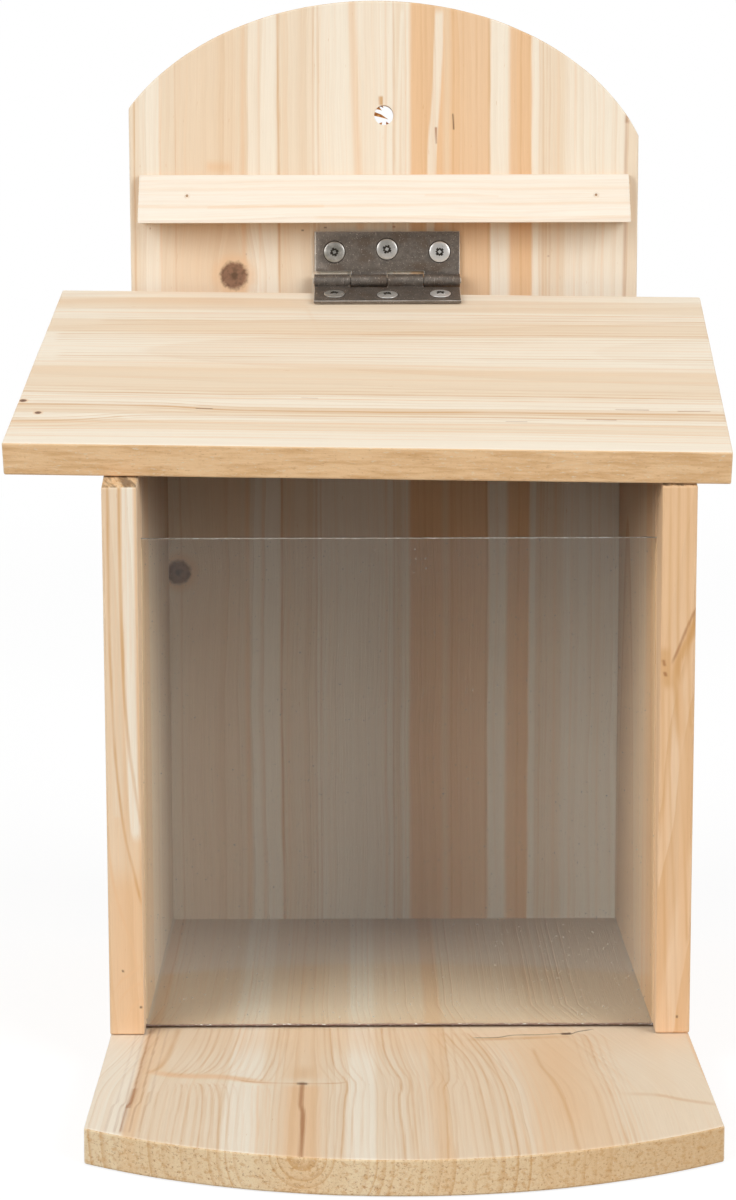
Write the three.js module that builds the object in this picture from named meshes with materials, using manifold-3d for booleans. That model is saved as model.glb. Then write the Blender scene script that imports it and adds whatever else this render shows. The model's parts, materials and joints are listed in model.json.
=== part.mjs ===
// A small pine feeder box with a hinged roof, a clear front pane and a bowed porch.
// Millimetres, +Z up, the front faces -Y. The origin lies on the underside of the floor board,
// on the centre line of the box and at the middle of its depth from back board to porch tip.

import * as THREE from "three";
import { mergeVertices } from "three/addons/utils/BufferGeometryUtils.js";
import Module from "manifold-3d";

const wasm = await Module();
wasm.setup();

// Box: one stock thickness for every board
const boardThick = 8;
const boxWidth = 135;
const boxDepth = 103;
const sideFrontHeight = 128.4;
const roofSlope = THREE.MathUtils.degToRad(17.5);

// Floor board and its bowed porch
const porchDepth = 63.2;
const porchBulge = 19.7;

// Back board: a little narrower than the box and set a little to its left
const boardShortfall = 3;
const boardShift = -2.5;
const crownHeight = 44.2;
const archRise = 52.5;
const archSpanShare = 1.103;
const archShiftShare = -0.035;
const hangingHoleRadius = 2.5;
const hangingHoleHeightShare = 0.343;

// Rain batten above the hinge
const battenInset = 2.5;
const battenHeight = 12.3;
const battenTopThick = 1.8;
const battenFootThick = 10;
const battenAboveLeaf = 2.3;

// Roof board, which lies a little askew in its own plane
const roofOverhang = 15.2;
const roofFrontInset = 2.5;
const roofBackGap = 0.35;
const roofShift = -1.7;
const roofSkew = THREE.MathUtils.degToRad(2.25);

// Clear pane in saw-cut grooves, leaning back
const paneThick = 2;
const paneFootInset = 5.2;
const paneHeadInset = 11.8;
const feedGap = 16.9;
const grooveDepth = 3;
const paneClearance = 0.3;

// Butt hinge
const hingeShift = 0.75;
const hingeLength = 38;
const knuckleRadius = 1.7;
const knuckleCount = 4;
const knuckleGap = 0.25;
const notchGap = 0.7;
const leafReach = 12.7;
const leafThick = 0.8;
const pinClearance = 0.06;
const pinProud = 0.3;

// Hinge screws: a middle hole set further from the pin than the outer two
const screwRadius = 1.25;
const screwHeadRadius = 2.7;
const screwDome = 0.35;
const screwTip = 1.6;
const screwReachShare = 0.8;
const screwSpreadShare = 0.36;
const outerScrewShare = 0.583;
const middleScrewShare = 0.638;

// Brads
const bradRadius = 0.35;
const bradLength = 20;
const bradHeadRadius = 0.45;
const bradHeadThick = 0.5;
const bradTip = 0.8;
const battenBradReachShare = 0.85;
const battenBradHeightShare = 0.57;
const battenBradShares = [-0.4, 0.43];
const sideBradHeightShares = [0.18, 0.82];
const sideBradDepthShares = [0.22, 0.78];
const floorBradShare = 0.28;

// Clearances: seatGap parts metal and pane from wood, and the roof from the sides it rests on
const seatGap = 0.3;
const overrun = 1;

// Facets round a pin or a fastener, and along half of a drawn curve
const roundFacets = 32;
const fastenerFacets = 20;
const curveFacets = 28;

// Places worked out from the sizes above
const footprintDepth = boardThick + boxDepth + porchDepth + porchBulge;
const boardBack = footprintDepth / 2;
const wallFront = boardBack - boardThick;
const sideFront = wallFront - boxDepth;
const floorTop = boardThick;
const innerWidth = boxWidth - 2 * boardThick;
const sideBackHeight = sideFrontHeight + boxDepth * Math.tan(roofSlope);

const boardWidth = boxWidth - boardShortfall;
const hingeX = boardShift + hingeShift;
const plateBack = knuckleRadius + seatGap;
const hingeY = wallFront - plateBack;
const roofUnder = plateBack + boardThick;
const hingeZ = floorTop + sideFrontHeight + (boxDepth - plateBack) * Math.tan(roofSlope)
  + (roofUnder + seatGap) / Math.cos(roofSlope);
const battenBase = hingeZ + leafReach + battenAboveLeaf;
const boardHeight = battenBase + battenHeight + crownHeight;

// The knuckles' wall is as thick as the plate that they are rolled from
const knuckleLength = hingeLength / knuckleCount;
const pinRadius = knuckleRadius - leafThick - pinClearance;

// Colours
const pine = { color: 0xe9d3b0, roughness: 0.72, metalness: 0 };
const palePine = { color: 0xf0dfc2, roughness: 0.72, metalness: 0 };
const agedSteel = { color: 0x75695c, roughness: 0.45, metalness: 1 };
const zinc = { color: 0xb9b5ac, roughness: 0.35, metalness: 1 };
const clear = { color: 0xe6ebee, roughness: 0.08, metalness: 0, transparent: true, opacity: 0.3 };

const xAxis = new THREE.Vector3(1, 0, 0);
const yAxis = new THREE.Vector3(0, 1, 0);
const zAxis = new THREE.Vector3(0, 0, 1);

// Solids: a closed geometry with its shared corners merged, and back again
function solidOf(geometry) {
  const bare = geometry.clone();
  bare.deleteAttribute("normal");
  bare.deleteAttribute("uv");
  const merged = mergeVertices(bare);
  const corners = merged.index.array;
  const kept = [];
  for (let i = 0; i < corners.length; i += 3) {
    const [a, b, c] = corners.slice(i, i + 3);
    if (a !== b && b !== c && c !== a) kept.push(a, b, c);
  }
  return new wasm.Manifold(new wasm.Mesh({
    numProp: 3,
    vertProperties: new Float32Array(merged.attributes.position.array),
    triVerts: new Uint32Array(kept),
  }));
}

function geometryOf(solid) {
  const { vertProperties, triVerts } = solid.getMesh();
  const geometry = new THREE.BufferGeometry();
  geometry.setAttribute("position", new THREE.BufferAttribute(vertProperties, 3));
  geometry.setIndex(new THREE.BufferAttribute(triVerts, 1));
  geometry.computeVertexNormals();
  return geometry;
}

// Cuts the room that other pieces need, wherever they sit in the scene, out of a mesh
function carve(mesh, ...pieces) {
  mesh.updateWorldMatrix(true, false);
  const toMesh = mesh.matrixWorld.clone().invert();
  let body = solidOf(mesh.geometry);
  for (const piece of pieces) {
    piece.updateWorldMatrix(true, false);
    const place = toMesh.clone().multiply(piece.matrixWorld);
    body = body.subtract(solidOf(piece.userData.room.clone().applyMatrix4(place)));
  }
  mesh.geometry = geometryOf(body);
}

function meshOf(name, geometry, finish) {
  const mesh = new THREE.Mesh(geometry, new THREE.MeshStandardMaterial(finish));
  mesh.name = name;
  return mesh;
}

// Extrusions: along X from a shape drawn in y and z, and towards -Y from one drawn in x and z
function extrudeAlongX(shape, width) {
  const geometry = new THREE.ExtrudeGeometry(shape, { depth: width, bevelEnabled: false });
  geometry.translate(0, 0, -width / 2);
  return geometry.applyMatrix4(new THREE.Matrix4().makeBasis(yAxis, zAxis, xAxis));
}

function extrudeForward(shape, depth) {
  const options = { depth, bevelEnabled: false, curveSegments: curveFacets };
  const geometry = new THREE.ExtrudeGeometry(shape, options);
  return geometry.applyMatrix4(new THREE.Matrix4().makeBasis(xAxis, zAxis, yAxis.clone().negate()));
}

function shapeOf(points) {
  return new THREE.Shape(points.map(([across, up]) => new THREE.Vector2(across, up)));
}

function latheOf(points, facets) {
  return new THREE.LatheGeometry(points.map(([r, y]) => new THREE.Vector2(r, y)), facets);
}

// Back board: straight sides and an arched top, with the hanging hole in its crown
function makeBackBoard() {
  const half = boardWidth / 2;
  const archSpan = half * archSpanShare;
  const archX = half * archShiftShare;
  const archBase = boardHeight - archRise;
  const rightEnd = Math.acos((half - archX) / archSpan);
  const leftEnd = Math.acos((-half - archX) / archSpan);
  const shape = new THREE.Shape();
  shape.moveTo(-half, 0);
  shape.lineTo(half, 0);
  shape.absellipse(archX, archBase, archSpan, archRise, rightEnd, leftEnd, false);
  shape.closePath();

  const hole = new THREE.Path();
  const holeZ = battenBase + battenHeight + crownHeight * hangingHoleHeightShare;
  hole.absarc(0, holeZ, hangingHoleRadius, 0, 2 * Math.PI, true);
  shape.holes.push(hole);

  const mesh = meshOf("back_board", extrudeForward(shape, boardThick), pine);
  mesh.position.set(boardShift, boardBack, 0);
  return mesh;
}

// Floor board: its front edge is one shallow arc
function makeFloorBoard() {
  const half = boxWidth / 2;
  const corner = -(boxDepth + porchDepth);
  const arcRadius = (half * half + porchBulge * porchBulge) / (2 * porchBulge);
  const arcY = corner - porchBulge + arcRadius;
  const reach = Math.asin(half / arcRadius);
  const shape = new THREE.Shape();
  shape.moveTo(half, 0);
  shape.lineTo(-half, 0);
  shape.absarc(0, arcY, arcRadius, -Math.PI / 2 - reach, -Math.PI / 2 + reach, false);
  shape.closePath();
  const options = { depth: boardThick, bevelEnabled: false, curveSegments: curveFacets };
  const mesh = meshOf("floor_board", new THREE.ExtrudeGeometry(shape, options), pine);
  mesh.position.set(0, wallFront, 0);
  return mesh;
}

// Side boards: the top falls with the roof
function makeSide(name, side) {
  const outline = [[0, 0], [0, sideBackHeight], [-boxDepth, sideFrontHeight], [-boxDepth, 0]];
  const mesh = meshOf(name, extrudeAlongX(shapeOf(outline), boardThick), pine);
  mesh.position.set(side * (boxWidth - boardThick) / 2, wallFront, floorTop);
  return mesh;
}

// Rain batten: a wedge whose face sheds water past the hinge
function makeBatten() {
  const outline = [[0, 0], [0, battenHeight], [-battenTopThick, battenHeight], [-battenFootThick, 0]];
  const length = boardWidth - 2 * battenInset;
  const mesh = meshOf("rain_batten", extrudeAlongX(shapeOf(outline), length), palePine);
  mesh.position.set(boardShift, wallFront, battenBase);
  return mesh;
}

// Pane: it hangs between the grooves and can be pushed up along its lean
function makePane() {
  const headZ = floorTop + sideFrontHeight + paneHeadInset * Math.tan(roofSlope) - feedGap;
  const lean = Math.atan2(paneHeadInset - paneFootInset, headZ - floorTop);
  const footZ = floorTop + seatGap + paneThick * Math.sin(lean);
  const height = (headZ - footZ) / Math.cos(lean);
  const width = innerWidth + 2 * (grooveDepth - paneClearance);
  const mesh = meshOf("front_pane", new THREE.BoxGeometry(width, paneThick, height), clear);
  mesh.position.set(0, paneThick / 2, height / 2);

  const grooveWidth = paneThick + 2 * paneClearance;
  const grooveRun = 2 * sideBackHeight;
  mesh.userData.room = new THREE.BoxGeometry(innerWidth + 2 * grooveDepth, grooveWidth, grooveRun);

  const leaning = new THREE.Group();
  leaning.position.set(0, sideFront + paneFootInset, footZ);
  leaning.rotation.x = -lean;
  leaning.add(mesh);
  return { leaning, mesh };
}

// Fasteners: turned about Y with the head's face at zero and the tip towards -Y.
// The room of each is its own profile grown by a clearance, and it cuts its own hole.
function screwProfile(length, grow, top) {
  const cone = screwHeadRadius - screwRadius;
  return [
    [0, -length - grow],
    [screwRadius + grow, -length + screwTip],
    [screwRadius + grow, -cone],
    [screwHeadRadius + grow, 0],
    [(screwHeadRadius + grow) * (grow > 0 ? 1 : Math.SQRT1_2), top],
    [0, top],
  ];
}

function makeScrew(name) {
  const length = (leafThick + seatGap + boardThick) * screwReachShare;
  const mesh = meshOf(name, latheOf(screwProfile(length, 0, screwDome), fastenerFacets), zinc);
  mesh.userData.room = latheOf(screwProfile(length, seatGap, overrun), fastenerFacets);
  return mesh;
}

function bradProfile(length, grow, top) {
  return [
    [0, -length - grow],
    [bradRadius + grow, -length + bradTip],
    [bradRadius + grow, -bradHeadThick - grow],
    [bradHeadRadius + grow, -bradHeadThick - grow],
    [bradHeadRadius + grow, top],
    [0, top],
  ];
}

function makeBrad(name, length) {
  const mesh = meshOf(name, latheOf(bradProfile(length, 0, 0), fastenerFacets), zinc);
  mesh.userData.room = latheOf(bradProfile(length, seatGap, overrun), fastenerFacets);
  return mesh;
}

// Hinge leaf: a plate whose back is tangent to the barrel, rolled into every second knuckle,
// notched for the other leaf's knuckles and drilled for the pin and three countersunk screws.
// The pin lies along X at zero, the plate runs towards -Y and its face looks along +Z.
function knuckleX(index) {
  return (index + 0.5) * knuckleLength - hingeLength / 2;
}

function barrelOf(radius, length, x) {
  const geometry = new THREE.CylinderGeometry(radius, radius, length, roundFacets);
  return solidOf(geometry.rotateZ(Math.PI / 2).translate(x, 0, 0));
}

function makeLeaf(name) {
  const plate = new THREE.BoxGeometry(hingeLength - knuckleGap, leafReach, leafThick);
  plate.translate(0, -leafReach / 2, leafThick / 2 - knuckleRadius);
  let body = solidOf(plate);
  for (let index = 0; index < knuckleCount; index += 1) {
    const x = knuckleX(index);
    if (index % 2 === 0) {
      body = body.add(barrelOf(knuckleRadius, knuckleLength - knuckleGap, x));
    } else {
      const depth = 2 * (knuckleRadius + notchGap);
      const notch = new THREE.BoxGeometry(knuckleLength + knuckleGap, depth, depth);
      body = body.subtract(solidOf(notch.translate(x, 0, 0)));
    }
  }
  body = body.subtract(barrelOf(pinRadius + pinClearance, hingeLength + overrun, 0));
  return meshOf(name, geometryOf(body), agedSteel);
}

// Half a hinge: the leaf and its three screws, named from the end where the pin's X starts
function makeHingeHalf(leafName, screwNames) {
  const leaf = makeLeaf(leafName);
  const reachShares = [outerScrewShare, middleScrewShare, outerScrewShare];
  const screws = screwNames.map((name, index) => {
    const screw = makeScrew(name);
    const x = (index - 1) * hingeLength * screwSpreadShare;
    screw.position.set(x, -leafReach * reachShares[index], leafThick - knuckleRadius);
    screw.rotation.x = Math.PI / 2;
    return screw;
  });
  const half = new THREE.Group();
  half.add(leaf, ...screws);
  carve(leaf, ...screws);
  return { half, screws };
}

function makePin() {
  const end = hingeLength / 2 + pinProud;
  const profile = [[0, -end], [pinRadius - pinProud, -end], [pinRadius, pinProud - end],
    [pinRadius, end - pinProud], [pinRadius - pinProud, end], [0, end]];
  const mesh = meshOf("hinge_pin", latheOf(profile, roundFacets), zinc);
  mesh.rotation.z = Math.PI / 2;
  return mesh;
}

// Assembly
const feeder = new THREE.Group();
const backBoard = makeBackBoard();
const floorBoard = makeFloorBoard();
const sides = [makeSide("left_side", -1), makeSide("right_side", 1)];
const batten = makeBatten();
const pane = makePane();
feeder.add(backBoard, floorBoard, ...sides, batten, pane.leaning);

// The fixed half of the hinge: turned so that its plate stands up the back board
const wallHalf = makeHingeHalf("hinge_upper_leaf",
  ["hinge_screw_upper_right", "hinge_screw_upper_middle", "hinge_screw_upper_left"]);
wallHalf.half.position.set(hingeX, hingeY, hingeZ);
wallHalf.half.rotation.set(Math.PI / 2, 0, Math.PI);
const pin = makePin();
pin.position.set(hingeX, hingeY, hingeZ);
feeder.add(wallHalf.half, pin);

// The roof turns about the pin. Its board is set back just far enough for its lower back edge,
// askew as it is, to clear the back board's end.
const roofHalf = makeHingeHalf("hinge_lower_leaf",
  ["hinge_screw_lower_left", "hinge_screw_lower_middle", "hinge_screw_lower_right"]);
const skewReach = boardWidth / 2 + Math.abs(hingeShift);
const backEdge = (roofBackGap - plateBack + roofUnder * Math.sin(roofSlope)) / Math.cos(roofSlope);
const roofSetback = (skewReach * Math.tan(Math.abs(roofSkew)) + backEdge) * Math.cos(roofSkew);
const frontEdge = (boxDepth - roofFrontInset - plateBack + roofUnder * Math.sin(roofSlope))
  / Math.cos(roofSlope);
const roofLength = frontEdge - roofSetback;
const roofWidth = boxWidth + 2 * roofOverhang;
const roofBoard = meshOf("roof_board", new THREE.BoxGeometry(roofWidth, roofLength, boardThick), pine);
roofBoard.position.set(roofShift, -roofSetback - roofLength / 2, -plateBack - boardThick / 2);
const askew = new THREE.Group();
askew.rotation.z = -roofSkew;
askew.add(roofBoard);
const roof = new THREE.Group();
roof.position.set(hingeX, hingeY, hingeZ);
roof.rotation.x = roofSlope;
roof.add(roofHalf.half, askew);
feeder.add(roof);

// Batten brads: driven straight back through the wedge into the board
const battenThickAtBrad = THREE.MathUtils.lerp(battenFootThick, battenTopThick, battenBradHeightShare);
const battenBrads = ["batten_brad_left", "batten_brad_right"].map((name, index) => {
  const brad = makeBrad(name, (battenThickAtBrad + boardThick) * battenBradReachShare);
  const x = boardShift + (boardWidth - 2 * battenInset) * battenBradShares[index];
  const z = battenBase + battenHeight * battenBradHeightShare;
  brad.position.set(x, wallFront - battenThickAtBrad, z);
  brad.rotation.x = Math.PI;
  return brad;
});
feeder.add(...battenBrads);

// Box brads: through the back board and up through the floor into the edges they meet
const backBrads = [];
const floorBrads = [];
["left", "right"].forEach((word, index) => {
  const side = 2 * index - 1;
  const inner = innerWidth / 2;
  const outer = Math.min(boxWidth / 2, boardWidth / 2 + side * boardShift);
  const joints = [["lower", sideBradHeightShares[0]], ["upper", sideBradHeightShares[1]]];
  for (const [place, share] of joints) {
    const brad = makeBrad(`back_brad_${word}_${place}`, bradLength);
    brad.position.set(side * (inner + outer) / 2, boardBack, floorTop + sideBackHeight * share);
    backBrads.push(brad);
  }
  const floorEnd = makeBrad(`back_brad_floor_${word}`, bradLength);
  floorEnd.position.set(side * boxWidth * floorBradShare, boardBack, floorTop / 2);
  backBrads.push(floorEnd);
  for (const [place, share] of [["back", sideBradDepthShares[0]], ["front", sideBradDepthShares[1]]]) {
    const brad = makeBrad(`floor_brad_${word}_${place}`, bradLength);
    brad.position.set(side * (boxWidth - boardThick) / 2, wallFront - boxDepth * share, 0);
    brad.rotation.x = -Math.PI / 2;
    floorBrads.push(brad);
  }
});
feeder.add(...backBrads, ...floorBrads);

// Holes and grooves, each from the piece that sits in it
carve(backBoard, ...wallHalf.screws, ...battenBrads, ...backBrads);
carve(floorBoard, ...backBrads, ...floorBrads);
carve(batten, ...battenBrads);
carve(roofBoard, ...roofHalf.screws);
for (const side of sides) carve(side, pane.mesh, ...backBrads, ...floorBrads);

export default feeder;
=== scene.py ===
"""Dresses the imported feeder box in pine, steel and clear sheet, and sets its stage.

Patterns and shapes are written in millimetres of the part's frame: X to the right, Y away from the
front, Z up. Blender's own numbers are metres.
"""

import json
import math

import bmesh
import bpy
from bpy.props import FloatProperty, FloatVectorProperty, PointerProperty
from mathutils import Matrix, Vector, noise

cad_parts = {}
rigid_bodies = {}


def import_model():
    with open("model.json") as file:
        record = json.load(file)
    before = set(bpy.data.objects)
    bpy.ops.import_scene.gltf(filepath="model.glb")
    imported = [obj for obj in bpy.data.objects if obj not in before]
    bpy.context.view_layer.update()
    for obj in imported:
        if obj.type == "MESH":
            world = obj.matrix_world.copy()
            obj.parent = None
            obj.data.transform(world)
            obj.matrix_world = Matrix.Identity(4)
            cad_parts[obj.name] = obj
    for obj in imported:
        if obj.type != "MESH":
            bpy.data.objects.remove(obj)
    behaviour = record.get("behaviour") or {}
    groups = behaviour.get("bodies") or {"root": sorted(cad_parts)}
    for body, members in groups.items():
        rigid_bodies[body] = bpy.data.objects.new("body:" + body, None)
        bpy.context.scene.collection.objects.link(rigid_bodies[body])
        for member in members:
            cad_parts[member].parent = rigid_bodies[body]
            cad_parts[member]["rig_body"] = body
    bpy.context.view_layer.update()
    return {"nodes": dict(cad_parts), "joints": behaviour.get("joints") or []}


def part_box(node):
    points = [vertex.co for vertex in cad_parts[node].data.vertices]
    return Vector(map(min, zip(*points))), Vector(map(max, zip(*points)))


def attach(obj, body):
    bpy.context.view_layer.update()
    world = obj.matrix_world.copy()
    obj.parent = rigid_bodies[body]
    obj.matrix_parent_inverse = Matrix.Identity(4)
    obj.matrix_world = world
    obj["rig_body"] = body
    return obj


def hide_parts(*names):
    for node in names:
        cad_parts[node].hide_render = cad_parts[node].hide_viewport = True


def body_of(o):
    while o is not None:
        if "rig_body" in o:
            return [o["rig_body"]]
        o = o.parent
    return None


bl_info = {
    "name": "Feeder Box Finishes",
    "version": (1, 0, 0),
    "blender": (4, 5, 0),
    "location": "View3D > Sidebar > Feeder",
    "description": "Gives a packed pine feeder box its boards, hinge, pane, fasteners and stage",
    "category": "Object",
}

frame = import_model()
NODES = frame["nodes"]
HINGE_AXIS = Vector(frame["joints"][0]["pos_m"])

MM = 0.001
ROOF_SLOPE = math.radians(17.5)
ROOF_SKEW = math.radians(-2.25)
PANE_LEAN = math.radians(3.278)
# Edges that are eased: how sharp they are and how long
ARRIS_ANGLE = math.radians(30)
PLATE_ANGLE = math.radians(50)
LONG_ARRIS = 1.2 * MM
# Edges that stay crisp in the shading
WOOD_CRISP = math.radians(12)
PLATE_CRISP = math.radians(35)
FASTENER_CRISP = math.radians(38)
# The place across the porch that its rings turn round, and the half width of a broad band
WHORL = -21.7
WIDE_LINE = 0.9
# Where the large lamps aim, how far off they stand and how wide they are, in metres
LAMP_TARGET = Vector((0.0, 0.0, 0.12))
LAMP_DISTANCE = 1.5
LAMP_WIDTH = 1.0
TABLE_REACH = 6.0


def screen(red, green, blue):
    """A colour as seen on a screen, 0 to 255, in the linear numbers that shaders take."""
    def linear(value):
        value /= 255
        return value / 12.92 if value <= 0.04045 else ((value + 0.055) / 1.055) ** 2.4
    return (linear(red), linear(green), linear(blue))


def colour_property(name, description, default):
    return FloatVectorProperty(
        name=name, description=description, subtype="COLOR", size=3, min=0.0, max=1.0,
        default=screen(*default))


def length_property(name, description, millimetres):
    return FloatProperty(
        name=name, description=description, subtype="DISTANCE", unit="LENGTH", min=0.0,
        default=millimetres * MM)


# Sizes and colours that a user would change

class FeederTimber(bpy.types.PropertyGroup):
    """Colours of the pine and how its arrises are eased."""

    pale: colour_property("Pale wood", "The whitest bands of sapwood", (250, 238, 218))
    cream: colour_property("Cream wood", "Most of the sapwood", (243, 223, 196))
    peach: colour_property("Peach wood", "Warmer bands", (241, 210, 174))
    orange: colour_property("Orange wood", "The warmest bands, rich in resin", (240, 199, 155))
    tan: colour_property("Late wood", "The dark line at the end of a year's ring", (211, 157, 92))
    brown: colour_property("Knot brown", "Resin, splits and bruises", (162, 98, 48))
    knot: colour_property("Knot", "Wood of the knots", (138, 100, 78))
    batten: colour_property("Batten wood", "The batten, palest of all", (249, 238, 222))
    bark: colour_property("Bark brown", "The darkest specks and cracks", (84, 56, 38))
    sawn: colour_property("Sawn edge", "Edges left rough from the saw", (255, 215, 166))
    end_grain: colour_property("End grain", "Tint of the wood where it is cut across", (255, 246, 226))
    bounce: colour_property(
        "Bounce", "Tint of the light that one board sends to another", (236, 222, 206))
    # Painted shade: a dim brown tint on light bounced inside the box, which darkens its inside
    inner_bounce: colour_property(
        "Inner bounce", "Further tint where boards shut the box in, which stays dim and brown",
        (122, 86, 56))
    ease: length_property("Arris", "How far the arrises are sanded back", 0.45)
    wander: length_property("Arris wander", "How far a hand-sanded arris strays inwards", 0.16)
    step: length_property("Arris step", "Length of one straight run of a sanded arris", 4.0)


class FeederFittings(bpy.types.PropertyGroup):
    """Colours and sizes of the hinge, its screws and the brads."""

    steel: colour_property("Hinge steel", "Aged plate of the hinge", (140, 131, 122))
    rust: colour_property("Hinge stain", "Brown stains on the hinge", (118, 103, 90))
    # Painted highlight: the bright colour of the hinge's narrow edges and pin
    worn: colour_property("Worn edge", "Bare metal on the hinge's edges", (214, 208, 198))
    zinc: colour_property("Screw zinc", "Plating of the screws", (206, 204, 198))
    brad: colour_property("Brad steel", "Heads of the brads", (204, 168, 132))
    plate_ease: length_property("Plate edge", "Rounding of the hinge plates", 0.12)
    worn_ease: length_property("Worn edge width", "Width of the bright end of the upper leaf", 0.42)
    head_radius: length_property("Screw head radius", "Half the width of a screw head", 2.7)
    head_dome: length_property("Screw dome", "Height of a screw head above the plate", 0.35)
    recess_reach: length_property("Recess reach", "Length of the cross recess", 2.3)
    recess_width: length_property("Recess width", "Width of each arm of the recess", 0.6)
    socket: length_property("Recess middle", "Width of the square in the recess", 1.6)
    brad_radius: length_property("Brad head radius", "Half the width of a brad's head", 0.34)


class FeederPane(bpy.types.PropertyGroup):
    """The clear sheet across the front."""

    tint: colour_property("Sheet tint", "What the sheet lets through", (250, 250, 246))
    ease: length_property("Sheet arris", "Scraped corner of the sheet's edges", 0.16)
    chips: length_property("Sheet chips", "How far the sawn edges are chipped", 0.28)
    step: length_property("Chip length", "Length of a chip along an edge", 1.6)
    dust: FloatProperty(
        name="Dust", description="How much fine dust lies on the sheet", default=0.35,
        min=0.0, max=1.0, subtype="FACTOR")


class FeederStage(bpy.types.PropertyGroup):
    """Camera, lamps and floor."""

    ambient: FloatProperty(
        name="Ambient", description="Light from overhead", default=0.46, min=0.0)
    low_share: FloatProperty(
        name="Low light", description="Share of it that comes from near the horizon", default=0.35,
        min=0.0, max=1.0, subtype="FACTOR")
    key: FloatProperty(
        name="Key", description="Power of each large lamp in front", default=13.1, min=0.0,
        unit="POWER")
    spread: FloatProperty(
        name="Spread", description="How far each large lamp stands to the side", subtype="ANGLE",
        default=math.radians(52))
    rise: FloatProperty(
        name="Rise", description="How high the large lamps stand", subtype="ANGLE",
        default=math.radians(24))
    floor: colour_property("Floor", "Colour of the table that the feeder stands on", (150, 150, 150))
    floor_lift: FloatProperty(
        name="Floor lift", description="White that the camera sees on top of the lit table",
        default=0.79, min=0.0, max=1.0)
    eye: FloatVectorProperty(
        name="Camera place", description="Where the camera stands", subtype="TRANSLATION",
        unit="LENGTH", size=3, default=(-0.00912, -0.63088, 0.20416))
    yaw: FloatProperty(
        name="Yaw", description="Turn of the camera to the right", subtype="ANGLE",
        default=math.radians(0.178))
    pitch: FloatProperty(
        name="Pitch", description="Tilt of the camera downwards", subtype="ANGLE",
        default=math.radians(8.64))
    roll: FloatProperty(
        name="Roll", description="Roll of the camera", subtype="ANGLE",
        default=math.radians(0.13))
    lens: FloatProperty(
        name="Lens", description="Focal length for a 36 mm long side", default=82.32, min=1.0)


# Fields: numbers and colours on their way through a material

class Field:
    """A number, place or colour in a node tree, so that sums on it read as sums."""

    def __init__(self, socket):
        self.socket = socket

    def node(self, kind, *terms, output=0, **facts):
        """The output of a new node of that kind in the same tree, fed with these terms in order."""
        return node_in(self.socket.id_data, kind, *terms, output=output, **facts)

    def parts(self):
        """The three numbers of a place."""
        apart = self.node("ShaderNodeSeparateXYZ", self).socket.node
        return [Field(socket) for socket in apart.outputs]

    def maths(self, operation, *others):
        return self.node("ShaderNodeMath", self, *others, operation=operation)

    def vector_maths(self, operation, *others, output=0):
        return self.node(
            "ShaderNodeVectorMath", self, *others, operation=operation, output=output)

    def __add__(self, other):
        return self.maths("ADD", other)

    def __sub__(self, other):
        return self.maths("SUBTRACT", other)

    def __mul__(self, other):
        return self.maths("MULTIPLY", other)

    def __truediv__(self, other):
        return self.maths("DIVIDE", other)

    def __rsub__(self, other):
        return self.maths("MULTIPLY", -1.0) + other

    __radd__ = __add__
    __rmul__ = __mul__

    def eased(self, low, high):
        """0 below low and 1 above high, turning smoothly between. Falls if low is above high."""
        return self.node("ShaderNodeMapRange", self, low, high, interpolation_type="SMOOTHSTEP")


def node_in(tree, kind, *terms, output=0, **facts):
    """The output of a new node of that kind in a tree, fed with these terms in order."""
    made = tree.nodes.new(kind)
    for fact, value in facts.items():
        setattr(made, fact, value)
    for slot, term in zip(made.inputs, terms):
        if term is not None:
            feed(slot, term)
    return Field(made.outputs[output])


def feed(slot, term):
    """Gives a socket a plain value, the colour of a named wood, or links it to a field."""
    if isinstance(term, Field):
        slot.id_data.links.new(term.socket, slot)
        return
    if slot.type == "RGBA":
        term = (*(wood(term) if isinstance(term, str) else term), 1.0)
    slot.default_value = term


def first_field(*terms):
    """The first of these terms that is a field."""
    return next(term for term in terms if isinstance(term, Field))


def place(x, y, z=0.0):
    """A place made of three numbers, of which at least one is a field."""
    return first_field(x, y, z).node("ShaderNodeCombineXYZ", x, y, z)


def cloud(x, y, z=0.0, detail=2.0, roughness=0.5):
    """Smooth noise about 0.5."""
    spot = place(x, y, z)
    return spot.node("ShaderNodeTexNoise", spot, None, 1.0, detail, roughness)


def chance(whole, seed):
    """A random number from 0 to 1 for each whole number."""
    return whole.node("ShaderNodeTexWhiteNoise", None, whole + seed, noise_dimensions="1D")


def mixed(share, under, over, way="MIX"):
    """The colour under, with a share of the colour over it."""
    skipped = (None,) * 5  # the node's sockets for mixing numbers and places
    return first_field(share, under, over).node(
        "ShaderNodeMix", share, *skipped, under, over, output=2, data_type="RGBA",
        blend_type=way, clamp_factor=True)


def blank_material(name):
    """A new material and its empty tree."""
    material = bpy.data.materials.new(name)
    material.use_nodes = True
    material.node_tree.nodes.clear()
    return material, material.node_tree


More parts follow.
